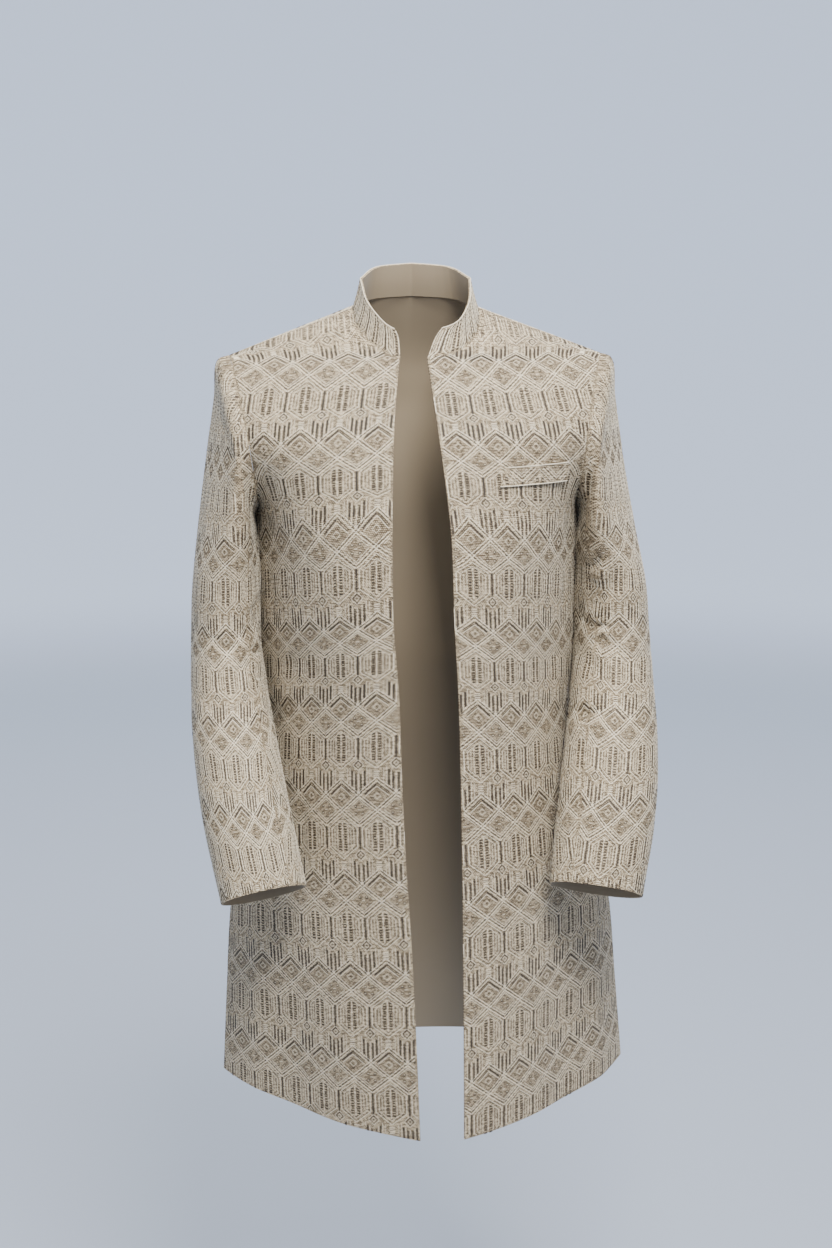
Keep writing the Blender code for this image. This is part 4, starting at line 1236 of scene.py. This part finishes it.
def add_bump(tree, shader, relief, strength, distance):
    """Small relief for the light only, given to a shader's normal."""
    bump = tree.node("ShaderNodeBump", output=None)
    bump.inputs["Strength"].default_value = strength
    bump.inputs["Distance"].default_value = distance
    tree.give(bump.inputs["Height"], relief)
    tree.give(shader.inputs["Normal"], bump.outputs["Normal"])


stitches = t.named("ShaderNodeGroup", {"node_tree": stitched}, Pattern=pattern)
fills = t.named("ShaderNodeGroup", {"node_tree": filled}, Pattern=pattern)
cloudy = t.noise(place, 14.0, 3.0, 0.6)
grain = t.noise(place, 900.0, 2.0, 0.6)
slubs = t.noise(place, 430.0, 1.0, 0.5)
GROUND_LIGHT = linear(240, 220, 183)
GROUND_DARK = linear(66, 50, 31)
FILL = linear(96, 82, 62)
LADDER = linear(56, 47, 37)
tone = t.math("ADD", t.math("MULTIPLY", stitches.outputs["Height"], 0.62),
              t.math("MULTIPLY", stitches.outputs["Tone"], 0.62))
tone = t.math("ADD", tone, t.math("MULTIPLY", grain, 0.40))
tone = t.math("ADD", tone, t.math("MULTIPLY", cloudy, 0.16))
tone = t.math("ADD", tone, t.math("MULTIPLY", slubs, 1.10))
tone = t.math("SUBTRACT", tone, 1.05)
colour = t.colours(tone, GROUND_DARK, GROUND_LIGHT)
colour = t.colours(t.math("MULTIPLY", fills.outputs["Diamond"], 0.26), colour, FILL)
colour = t.colours(t.math("MULTIPLY", fills.outputs["Ladder"], 0.85), colour, LADDER)
t.give(shader.inputs["Base Color"], colour)
relief = t.math("ADD", stitches.outputs["Height"], t.math("MULTIPLY", grain, 0.5))
add_bump(t, shader, relief, 0.9, 0.0008)
shader.inputs["Sheen Weight"].default_value = 0.08
shader.inputs["Sheen Roughness"].default_value = 0.45
shader.inputs["Specular IOR Level"].default_value = 0.35

# The wrong side is a plain beige weave of its own, darkened as painted shade so that the insides seen
# at the cuffs and openings look shadowed.
wrong_side_with_painted_shade, shader = new_material("plain wrong side", 0.62)
t = Tree(wrong_side_with_painted_shade.node_tree)
place = t.node("ShaderNodeTexCoord", output=None).outputs["Object"]
weave = t.noise(place, 700.0, 2.0, 0.5)
shade = t.colours(weave, linear(128, 114, 93), linear(152, 137, 113))
t.give(shader.inputs["Base Color"], shade)
shader.inputs["Sheen Weight"].default_value = 0.15
print("materials:", cloth.name, "and", wrong_side_with_painted_shade.name)

# %% Make the pieces of cloth
pieces = {}
flat_sheets = {}
thickness_of = {"cloth_collar": COLLAR_CLOTH, "cloth_pocket_welt": WELT_CLOTH}
for sheet, normals in sheets:
    face_name = "face_of_" + sheet.name
    one_slot = np.zeros(len(sheet.faces), int)
    flat_mesh = mesh_of(face_name, sheet.points, sheet.faces, sheet.pattern, one_slot)
    flat_sheets[sheet.name] = add(bpy.data.objects.new(face_name, flat_mesh))
    thickness = thickness_of.get(sheet.name, CLOTH)
    pieces[sheet.name] = thickened(sheet, normals, thickness, cloth, wrong_side_with_painted_shade)
face_count = sum(len(piece.data.polygons) for piece in pieces.values())
print("cloth pieces:", len(pieces), "with", face_count, "faces")

# %% [markdown]
# ## One repeat of the embroidery, charted
#
# The pattern is a traditional trellis. In each repeat two diamonds hang in a lattice of double
# cords; below them stands a tall six-sided frame with two ladders of short stitches; beside it
# are an upright bar, a small diamond and a comb of four bars. The chart lists straight runs of
# stitches in millimetres, measured from the top of the upper diamond, for a repeat 45 wide and
# 106 high. A run is laid along its line, as a cord, or across it, as a row of short stitches.
# Twin runs are mirrored to the other side of the middle.

# %% The chart
Run = namedtuple("Run", "thread x0 y0 x1 y1 lay width reach pitch twin")
LIGHT, DARK = 0, 1
CHART = [
    # the lattice of double cords round the two diamonds
    Run(LIGHT, 0.0, -8.4, 22.5, 9.6, "along", 1.5, 5.6, 5.5, True),
    Run(LIGHT, 0.0, -4.2, 22.5, 13.8, "along", 1.2, 5.6, 5.5, True),
    Run(LIGHT, 22.5, 9.6, 0.0, 27.6, "along", 1.2, 5.6, 5.5, True),
    Run(LIGHT, 22.5, 13.8, 0.0, 31.8, "along", 1.5, 5.6, 5.5, True),
    Run(LIGHT, 0.0, 27.6, 22.5, 44.6, "along", 1.2, 5.6, 5.5, True),
    Run(LIGHT, 0.0, 31.8, 22.5, 48.8, "along", 1.5, 5.6, 5.5, True),
    Run(DARK, 1.0, -5.5, 21.5, 10.9, "along", 1.1, 4.6, 4.9, True),
    Run(DARK, 21.5, 12.5, 1.0, 28.9, "along", 1.1, 4.6, 4.9, True),
    Run(DARK, 1.0, 30.4, 21.5, 45.9, "along", 1.1, 4.6, 4.9, True),
    # the upper diamond: a dark roof, thick on one side, and small diamonds inside it
    Run(DARK, -0.2, -0.6, -15.0, 11.2, "along", 2.4, 3.2, 2.9, False),
    Run(DARK, 0.6, -1.2, 14.6, 10.0, "along", 1.4, 5.0, 4.6, False),
    Run(DARK, 0.6, 1.4, 13.4, 11.6, "along", 1.2, 4.6, 4.3, False),
    Run(LIGHT, 0.0, 2.4, 14.0, 13.6, "along", 1.2, 5.0, 4.5, True),
    Run(DARK, 0.0, 6.8, 7.6, 12.9, "along", 0.8, 3.0, 2.8, True),
    Run(DARK, 7.6, 14.2, 0.0, 20.3, "along", 0.8, 3.0, 2.8, True),
    Run(LIGHT, 0.0, 9.9, 4.4, 13.4, "along", 0.8, 2.0, 1.9, True),
    Run(LIGHT, 4.4, 13.7, 0.0, 17.2, "along", 0.8, 2.0, 1.9, True),
    Run(DARK, -1.3, 13.5, 1.4, 13.5, "across", 0.9, 2.2, 1.1, False),
    Run(DARK, 12.4, 15.4, 1.5, 24.1, "across", 0.8, 2.1, 3.4, True),
    # the lower diamond: four rings round a middle
    Run(LIGHT, 22.5, 17.0, 8.0, 28.6, "along", 0.9, 4.8, 4.6, True),
    Run(LIGHT, 8.0, 30.0, 22.5, 41.6, "along", 0.9, 4.8, 4.6, True),
    Run(DARK, 18.0, 23.2, 16.2, 25.2, "along", 1.0, 2.3, 2.2, True),
    Run(DARK, 16.2, 25.2, 18.0, 27.2, "along", 1.0, 2.3, 2.2, True),
    Run(DARK, 18.2, 23.2, 20.0, 25.2, "along", 1.0, 2.3, 2.2, True),
    Run(DARK, 20.0, 25.2, 18.2, 27.2, "along", 1.0, 2.3, 2.2, True),
    Run(DARK, 18.0, 31.4, 16.2, 33.4, "along", 1.0, 2.3, 2.2, True),
    Run(DARK, 16.2, 33.4, 18.0, 35.4, "along", 1.0, 2.3, 2.2, True),
    Run(DARK, 18.2, 31.4, 20.0, 33.4, "along", 1.0, 2.3, 2.2, True),
    Run(DARK, 20.0, 33.4, 18.2, 35.4, "along", 1.0, 2.3, 2.2, True),
    Run(LIGHT, 17.4, 25.2, 18.8, 25.2, "along", 1.1, 1.4, 1.4, True),
    Run(LIGHT, 17.4, 33.4, 18.8, 33.4, "along", 1.1, 1.4, 1.4, True),
    Run(DARK, 21.6, 20.4, 22.5, 21.4, "along", 1.0, 1.6, 1.4, True),
    Run(DARK, 13.2, 29.3, 15.4, 29.3, "along", 1.1, 2.0, 2.0, True),
    Run(DARK, 21.6, 38.0, 22.5, 37.2, "along", 1.0, 1.6, 1.4, True),
    Run(LIGHT, 20.6, 29.3, 22.5, 29.3, "along", 1.3, 1.8, 1.8, True),
    # the six-sided frame, nested
    Run(LIGHT, 0.0, 36.2, 19.2, 50.6, "along", 1.1, 5.2, 5.0, True),
    Run(LIGHT, 19.2, 50.6, 19.2, 72.6, "along", 1.5, 5.6, 5.5, True),
    Run(LIGHT, 19.2, 72.6, 0.0, 87.0, "along", 1.3, 5.2, 5.0, True),
    Run(DARK, 17.0, 50.6, 17.0, 72.4, "along", 0.9, 4.0, 4.4, True),
    Run(DARK, 16.4, 49.6, 1.6, 38.5, "along", 0.8, 3.4, 3.8, True),
    Run(DARK, 15.8, 73.4, 2.0, 83.8, "along", 0.7, 3.6, 3.9, True),
    Run(LIGHT, 0.0, 41.0, 14.6, 51.8, "along", 0.9, 4.8, 4.6, True),
    Run(LIGHT, 14.6, 51.8, 14.6, 71.4, "along", 0.9, 5.2, 5.0, True),
    Run(LIGHT, 14.6, 71.4, 0.0, 82.4, "along", 0.9, 4.8, 4.6, True),
    Run(LIGHT, 10.8, 51.4, 10.8, 70.4, "along", 0.6, 4.6, 4.8, True),
    # the two ladders
    Run(DARK, 3.7, 44.2, 3.7, 77.6, "across", 2.1, 4.3, 3.05, True),
    Run(LIGHT, 7.3, 46.6, 7.3, 75.0, "along", 0.8, 5.5, 5.7, True),
    Run(LIGHT, 0.0, 42.6, 0.0, 79.6, "along", 1.1, 5.2, 5.2, False),
    # the upright bar between two frames
    Run(DARK, 22.5, 49.0, 22.5, 76.0, "across", 2.1, 3.0, 1.95, False),
    # the small diamond
    Run(LIGHT, 22.5, 75.4, 15.4, 81.9, "along", 1.0, 4.6, 4.6, True),
    Run(LIGHT, 15.4, 82.3, 22.5, 89.0, "along", 1.0, 4.6, 4.6, True),
    Run(DARK, 22.5, 77.2, 17.6, 81.9, "along", 1.2, 3.4, 3.4, True),
    Run(DARK, 17.6, 82.3, 22.5, 87.0, "along", 1.0, 3.4, 3.4, True),
    Run(LIGHT, 22.5, 79.4, 20.0, 81.9, "along", 0.7, 2.0, 2.0, True),
    Run(LIGHT, 20.0, 82.3, 22.5, 84.8, "along", 0.7, 2.0, 2.0, True),
    Run(DARK, 21.6, 82.1, 22.5, 82.1, "along", 1.1, 1.4, 1.4, True),
    # the comb of four bars
    Run(DARK, 19.5, 93.0, 19.5, 114.4, "across", 2.1, 2.7, 1.95, True),
    Run(DARK, 14.4, 88.6, 14.4, 108.2, "across", 2.1, 2.7, 1.95, True),
    Run(LIGHT, 22.5, 91.4, 22.5, 116.0, "along", 1.0, 6.1, 6.1, False),
    Run(LIGHT, 17.0, 89.6, 17.0, 111.4, "along", 0.9, 5.4, 5.4, True),
    Run(LIGHT, 11.8, 85.0, 11.8, 106.4, "along", 1.1, 5.4, 5.4, True),
    # the faint ladder under the frame
    Run(LIGHT, 0.0, 89.4, 0.0, 99.0, "across", 1.2, 7.2, 2.6, False),
    Run(LIGHT, 8.2, 86.2, 8.2, 103.6, "along", 0.8, 5.7, 5.8, True),
]
print("runs in one repeat:", len(CHART))

# %% The stitches of each run
Stitch = namedtuple("Stitch", "x y half_x half_y width")


def stitches_of(run):
    """The stitches of one run, and of its twin: their middles, half lengths and widths."""
    length = math.hypot(run.x1 - run.x0, run.y1 - run.y0)
    go = ((run.x1 - run.x0) / length, (run.y1 - run.y0) / length)
    number = max(1, round(length / run.pitch))
    pitch = length / number
    reach = run.reach * min(1.0, pitch / run.pitch) if run.lay == "along" else run.reach
    found = []
    for k in range(number):
        at = (k + 0.5) * pitch
        x, y = run.x0 + go[0] * at, run.y0 + go[1] * at
        half = (go[0] * reach / 2, go[1] * reach / 2)
        if run.lay == "across":
            flat = abs(go[1]) > 0.95
            half = (reach / 2, 0.0) if flat else (-go[1] * reach / 2, go[0] * reach / 2)
        found.append(Stitch(x, y, half[0], half[1], run.width))
        if run.twin and abs(x) > 0.05:
            found.append(Stitch(-x, y, -half[0], half[1], run.width))
    return found


chart = {thread: [s for run in CHART if run.thread == thread for s in stitches_of(run)]
         for thread in (LIGHT, DARK)}
print("stitches in one repeat:", len(chart[LIGHT]), "light and", len(chart[DARK]), "dark")

# %% Thread materials
def thread_material(name, light, dark, roughness, sheen):
    made, shader = new_material(name, roughness)
    t = Tree(made.node_tree)
    place = t.node("ShaderNodeTexCoord", output=None).outputs["Object"]
    slub = t.noise(place, 260.0, 2.0, 0.6)
    t.give(shader.inputs["Base Color"], t.colours(slub, dark, light))
    fine = t.noise(place, 2600.0, 1.0, 0.5)
    add_bump(t, shader, fine, 0.35, 0.0002)
    shader.inputs["Sheen Weight"].default_value = sheen
    shader.inputs["Sheen Roughness"].default_value = 0.4
    shader.inputs["Specular IOR Level"].default_value = 0.4
    return made


Thread = namedtuple("Thread", "word material rise boldness")
light_silk = thread_material("light silk thread", linear(255, 248, 226), linear(180, 161, 130),
                             0.45, 0.08)
dark_silk = thread_material("taupe silk thread", linear(76, 65, 52), linear(24, 19, 14), 0.6, 0.03)
THREADS = {
    LIGHT: Thread("light_thread", light_silk, 0.00045, 0.88),
    DARK: Thread("dark_thread", dark_silk, 0.00040, 1.14),
}
print("threads:", ", ".join(thread.word for thread in THREADS.values()))

# %% [markdown]
# ## A tree that embroiders a sheet
#
# The tree copies the charted repeat to every cell of the pattern, then asks the cloth where
# each stitch starts and ends by its pattern coordinates, which Sample UV Surface answers. It
# stands one small stitch between those two places, turned to lie on the cloth. A stitch whose
# ends aren't both on the piece is dropped, just as the shears cut through the embroidery, and
# so is one that would be longer than any real stitch of this cloth.

# %% The tree and what it is given
LONGEST_STITCH = 0.012

embroider = bpy.data.node_groups.new("embroider", "GeometryNodeTree")
embroider.is_modifier = True
for label, kind in (("Geometry", "NodeSocketGeometry"), ("Cloth", "NodeSocketObject"),
                    ("Repeat", "NodeSocketObject"), ("Stitch", "NodeSocketObject"),
                    ("First column", "NodeSocketInt"), ("Columns", "NodeSocketInt"),
                    ("First row", "NodeSocketInt"), ("Rows", "NodeSocketInt"),
                    ("Rise", "NodeSocketFloat"), ("Thread", "NodeSocketMaterial")):
    embroider.interface.new_socket(label, in_out="INPUT", socket_type=kind)
embroider.interface.new_socket("Geometry", in_out="OUTPUT", socket_type="NodeSocketGeometry")
g = Tree(embroider)
start = g.node("NodeGroupInput", output=None)
end = g.node("NodeGroupOutput", output=None)
given = start.outputs


def out(node, name=None):
    found = [s for s in node.outputs if s.enabled]
    return found[0] if name is None else next(s for s in found if s.name == name)


def shape_of(name):
    info = g.named("GeometryNodeObjectInfo", {"transform_space": "ORIGINAL"}, Object=given[name])
    return out(info, "Geometry")


def stored(name, kind):
    return out(g.named("GeometryNodeInputNamedAttribute", {"data_type": kind}, Name=name), "Attribute")


print("the tree is given", len(given) - 1, "things")

# %% One copy of the repeat in every cell of the pattern
surface = shape_of("Cloth")

wide = g.math("SUBTRACT", given["Columns"], 1.0)
tall = g.math("SUBTRACT", given["Rows"], 1.0)
cells = g.named("GeometryNodeMeshGrid", {}, Size_X=wide, Size_Y=tall,
                Vertices_X=given["Columns"], Vertices_Y=given["Rows"])
corner_x = g.math("ADD", given["First column"], g.math("MULTIPLY", wide, 0.5))
corner_y = g.math("ADD", given["First row"], g.math("MULTIPLY", tall, 0.5))
corner = g.node("ShaderNodeCombineXYZ", corner_x, corner_y, 0.0)
moved = g.named("GeometryNodeTransform", {}, Geometry=out(cells, "Mesh"), Translation=corner)
copies = g.named("GeometryNodeInstanceOnPoints", {}, Points=out(moved), Instance=shape_of("Repeat"))
all_stitches = out(g.named("GeometryNodeRealizeInstances", {}, Geometry=out(copies)))
print("nodes so far:", len(embroider.nodes))

# %% Find the two ends of each stitch on the cloth
middle = out(g.named("GeometryNodeInputPosition", {}))
half = stored("half", "FLOAT_VECTOR")
map_of_cloth = stored("pattern", "FLOAT_VECTOR")
where = out(g.named("GeometryNodeInputPosition", {}))
facing = out(g.named("GeometryNodeInputNormal", {}))
first_at = g.node("ShaderNodeVectorMath", middle, half, operation="SUBTRACT")
last_at = g.node("ShaderNodeVectorMath", middle, half, operation="ADD")


def sample(value, at):
    return g.named("GeometryNodeSampleUVSurface", {"data_type": "FLOAT_VECTOR"}, Mesh=surface,
                   Value=value, UV_Map=map_of_cloth, Sample_UV=at)


first = sample(where, first_at)
last = sample(where, last_at)
upright = sample(facing, middle)
way = g.node("ShaderNodeVectorMath", out(last, "Value"), out(first, "Value"), operation="SUBTRACT")
length = g.node("ShaderNodeVectorMath", way, operation="LENGTH", output=0)
both_ends = g.node("ShaderNodeVectorMath", out(last, "Value"), out(first, "Value"), operation="ADD")
centre = g.node("ShaderNodeVectorMath", both_ends, (0.5, 0.5, 0.5), operation="MULTIPLY")
on_cloth = [out(found, "Is Valid") for found in (first, last, upright)]
whole = g.node("FunctionNodeBooleanMath", on_cloth[0], on_cloth[1], operation="AND")
whole = g.node("FunctionNodeBooleanMath", whole, on_cloth[2], operation="AND")
too_long = g.node("FunctionNodeCompare", length, LONGEST_STITCH, data_type="FLOAT",
                  operation="GREATER_THAN")
keep = g.node("FunctionNodeBooleanMath", whole, too_long, operation="NIMPLY")
print("nodes so far:", len(embroider.nodes))

# %% Keep the stitches that are wholly on the cloth, and stand them there
def captured(geometry, name, kind, value):
    return out(g.named("GeometryNodeStoreNamedAttribute", {"data_type": kind, "domain": "POINT"},
                       Geometry=geometry, Name=name, Value=value))


kept = captured(all_stitches, "way", "FLOAT_VECTOR", way)
kept = captured(kept, "up", "FLOAT_VECTOR", out(upright, "Value"))
kept = captured(kept, "reach", "FLOAT", length)
kept = captured(kept, "centre", "FLOAT_VECTOR", centre)
kept = captured(kept, "keep", "BOOLEAN", keep)
drop = g.node("FunctionNodeBooleanMath", stored("keep", "BOOLEAN"), operation="NOT")
kept = out(g.named("GeometryNodeDeleteGeometry", {"domain": "POINT"}, Geometry=kept, Selection=drop))

placed = out(g.named("GeometryNodeSetPosition", {}, Geometry=kept,
                     Position=stored("centre", "FLOAT_VECTOR")))
turn = out(g.named("FunctionNodeAxesToRotation", {"primary_axis": "X", "secondary_axis": "Z"},
                   Primary_Axis=stored("way", "FLOAT_VECTOR"),
                   Secondary_Axis=stored("up", "FLOAT_VECTOR")))
size = g.node("ShaderNodeCombineXYZ", stored("reach", "FLOAT"), stored("width", "FLOAT"), given["Rise"])
sewn = g.named("GeometryNodeInstanceOnPoints", {}, Points=placed, Instance=shape_of("Stitch"),
               Rotation=turn, Scale=size)
real = g.named("GeometryNodeRealizeInstances", {}, Geometry=out(sewn))
dyed = g.named("GeometryNodeSetMaterial", {}, Geometry=out(real), Material=given["Thread"])
g.give(end.inputs["Geometry"], out(dyed))
print("the tree has", len(embroider.nodes), "nodes")

# %% The shape of one stitch, and the repeat as points
def small_object(name, points, faces=()):
    mesh = bpy.data.meshes.new(name)
    mesh.from_pydata(points, [], faces)
    mesh.shade_smooth()
    return add(bpy.data.objects.new(name, mesh))


stitch_shape = small_object(
    "one_stitch",
    [(-0.5, -0.5, -0.4), (0.5, -0.5, -0.4), (0.5, 0.5, -0.4), (-0.5, 0.5, -0.4),
     (-0.30, 0.0, 1.0), (0.30, 0.0, 1.0)],
    [(0, 1, 5, 4), (2, 3, 4, 5), (1, 2, 5), (3, 0, 4)],
)


def repeat_object(thread, side):
    """The stitches of one thread as points in pattern units, mirrored for the left side."""
    found = chart[thread]
    made = small_object(f"repeat_{THREADS[thread].word}_{side}",
                        [(-side * s.x / REPEAT_ACROSS, -s.y / REPEAT_DOWN, 0.0) for s in found])
    half = made.data.attributes.new("half", "FLOAT_VECTOR", "POINT")
    half.data.foreach_set("vector", np.array(
        [(-side * s.half_x / REPEAT_ACROSS, -s.half_y / REPEAT_DOWN, 0.0) for s in found]).reshape(-1))
    thick = made.data.attributes.new("width", "FLOAT", "POINT")
    thick.data.foreach_set("value", [s.width * THREADS[thread].boldness / 1000 for s in found])
    return made


repeats = {(thread, side): repeat_object(thread, side)
           for thread in (LIGHT, DARK) for side in (-1, 1)}
print("repeats:", ", ".join(repeat.name for repeat in repeats.values()))

# %% Embroider every piece
def set_inputs(modifier, **values):
    """Sets a modifier's inputs by their sockets' identifiers."""
    tree = modifier.node_group
    names = {item.name: item.identifier for item in tree.interface.items_tree
             if item.item_type == "SOCKET" and item.in_out == "INPUT"}
    for name, value in values.items():
        modifier[names[name.replace("_", " ")]] = value


def embroidered(name, cloth_face, pattern, thread, side):
    low = np.floor(pattern.min(axis=0)).astype(int) - 1
    high = np.ceil(pattern.max(axis=0)).astype(int) + 1
    carrier = small_object(name + "_carrier", [])
    modifier = carrier.modifiers.new("embroider", "NODES")
    modifier.node_group = embroider
    set_inputs(modifier, Cloth=cloth_face, Repeat=repeats[(thread, side)], Stitch=stitch_shape,
               First_column=int(low[0]), Columns=int(high[0] - low[0] + 1), First_row=int(low[1]),
               Rows=int(high[1] - low[1] + 1), Rise=THREADS[thread].rise,
               Thread=THREADS[thread].material)
    bpy.context.view_layer.update()
    finished = bpy.data.meshes.new_from_object(
        carrier.evaluated_get(bpy.context.evaluated_depsgraph_get()))
    bpy.data.objects.remove(carrier)
    finished.name = name
    finished.shade_smooth()
    return add(bpy.data.objects.new(name, finished))


embroidery = {}
for sheet, _ in sheets:
    side = 1 if sheet.name.endswith("left") or sheet.name == "cloth_pocket_welt" else -1
    embroidery[sheet.name] = [
        embroidered(f"{sheet.name.replace('cloth_', '')}_{THREADS[thread].word}",
                    flat_sheets[sheet.name], sheet.pattern, thread, side)
        for thread in (LIGHT, DARK)
    ]
for made in embroidery.values():
    print({piece.name: len(piece.data.polygons) for piece in made})

# %% [markdown]
# ## Cords along the edges
#
# The top edge of the collar and both edges of the pocket welt are bound with a fine light
# cord. It is a thin tube of six sides, laid a little outside the edge of its cloth.

# %% Lay the edge cords
CORD_RADIUS = 0.0006
COLLAR_CORD_LIFT = 0.0004


def cord(name, lines, radius):
    """One piece of fine cord along one or more lines of points."""
    points, faces = [], []
    for line in lines:
        line = np.asarray(line, float)
        ahead = np.gradient(line, axis=0)
        ahead /= np.linalg.norm(ahead, axis=1, keepdims=True)
        aside = np.cross(ahead, (0.0, 0.0, 1.0))
        aside /= np.linalg.norm(aside, axis=1, keepdims=True)
        above = np.cross(aside, ahead)
        first = len(points)
        for k in range(6):
            turn = math.radians(60 * k)
            ring = line + radius * (math.cos(turn) * aside + math.sin(turn) * above)
            points.extend(ring.tolist())
        n = len(line)
        for k in range(6):
            a, b = first + k * n, first + (k + 1) % 6 * n
            faces.extend((a + i, a + i + 1, b + i + 1, b + i) for i in range(n - 1))
        faces.append([first + k * n for k in range(6)])
        faces.append([first + k * n + n - 1 for k in range(5, -1, -1)])
    made = small_object(name, points, faces)
    made.data.materials.append(THREADS[LIGHT].material)
    return made


collar_sheet, collar_normals = next((s, n) for s, n in sheets if s.name == "cloth_collar")
rim = collar_sheet.points.reshape(COLLAR_ROWS + 1, COLLAR_COLUMNS, 3)[-1]
rim_normals = collar_normals.reshape(COLLAR_ROWS + 1, COLLAR_COLUMNS, 3)[-1]
rim = rim - rim_normals * COLLAR_CLOTH * 0.15 + (0, 0, COLLAR_CORD_LIFT)
collar_cord = cord("collar_edge_cord", [rim], CORD_RADIUS)
welt_points = welt.points.reshape(WELT_ROWS, WELT_COLUMNS, 3)
welt_cord = cord("welt_edge_cords", [welt_points[0], welt_points[-1]], CORD_RADIUS)
print("edge cords:", collar_cord.name, welt_cord.name)

# %% Clear away the shapes that only the tree needed
helpers = [*flat_sheets.values(), *repeats.values(), stitch_shape]
for helper in helpers:
    bpy.data.objects.remove(helper)
print("shapes cleared away:", len(helpers))

# %% [markdown]
# ## Every piece rides on the body
#
# The coat has no joints, so every piece rides on the one body. Each piece of cloth stands for
# its CAD solid, which is hidden, and the area of the cut that shows is worked out. The
# embroidery goes with the cloth that it is sewn on.

# %% Ride and replace, and work out the area of each cut
Cut = namedtuple("Cut", "node width length held rests_on")
LEAST_AREA_SHARE = 0.3


def area_of(name):
    sheet = next(s for s, _ in sheets if s.name == name)
    a, b, c, d = (sheet.points[sheet.faces[:, k]] for k in range(4))
    return float(np.linalg.norm(np.cross(c - a, d - b), axis=1).sum() / 2)


CUTS = [
    Cut("front_right", 0.300, 0.990, "draped", ["cloth_back"]),
    Cut("front_left", 0.300, 0.990, "draped", ["cloth_back"]),
    Cut("back", 0.560, 0.990, "draped", ["cloth_front_right", "cloth_front_left"]),
    Cut("top_sleeve_right", 0.330, 0.670, "hung", ["cloth_back"]),
    Cut("top_sleeve_left", 0.330, 0.670, "hung", ["cloth_back"]),
    Cut("under_sleeve_right", 0.140, 0.560, "hung", ["cloth_top_sleeve_right"]),
    Cut("under_sleeve_left", 0.140, 0.560, "hung", ["cloth_top_sleeve_left"]),
    Cut("collar", 0.420, 0.040, "draped", ["cloth_back"]),
    Cut("pocket_welt", 0.095, 0.023, "laid", ["cloth_front_left"]),
]
for name, lines in (("cloth_collar", collar_cord), ("cloth_pocket_welt", welt_cord)):
    embroidery[name].append(lines)
for cut in CUTS:
    name = "cloth_" + cut.node
    piece = pieces[name]
    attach(piece, "root")
    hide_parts(cut.node)
    for sewn_on in embroidery[name]:
        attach(sewn_on, "root")
    rectangle = cut.width * cut.length
    area = min(max(area_of(name), LEAST_AREA_SHARE * rectangle), rectangle)
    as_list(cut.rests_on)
    print(name, "cloth", round(area, 4), "m2 of", round(rectangle, 4))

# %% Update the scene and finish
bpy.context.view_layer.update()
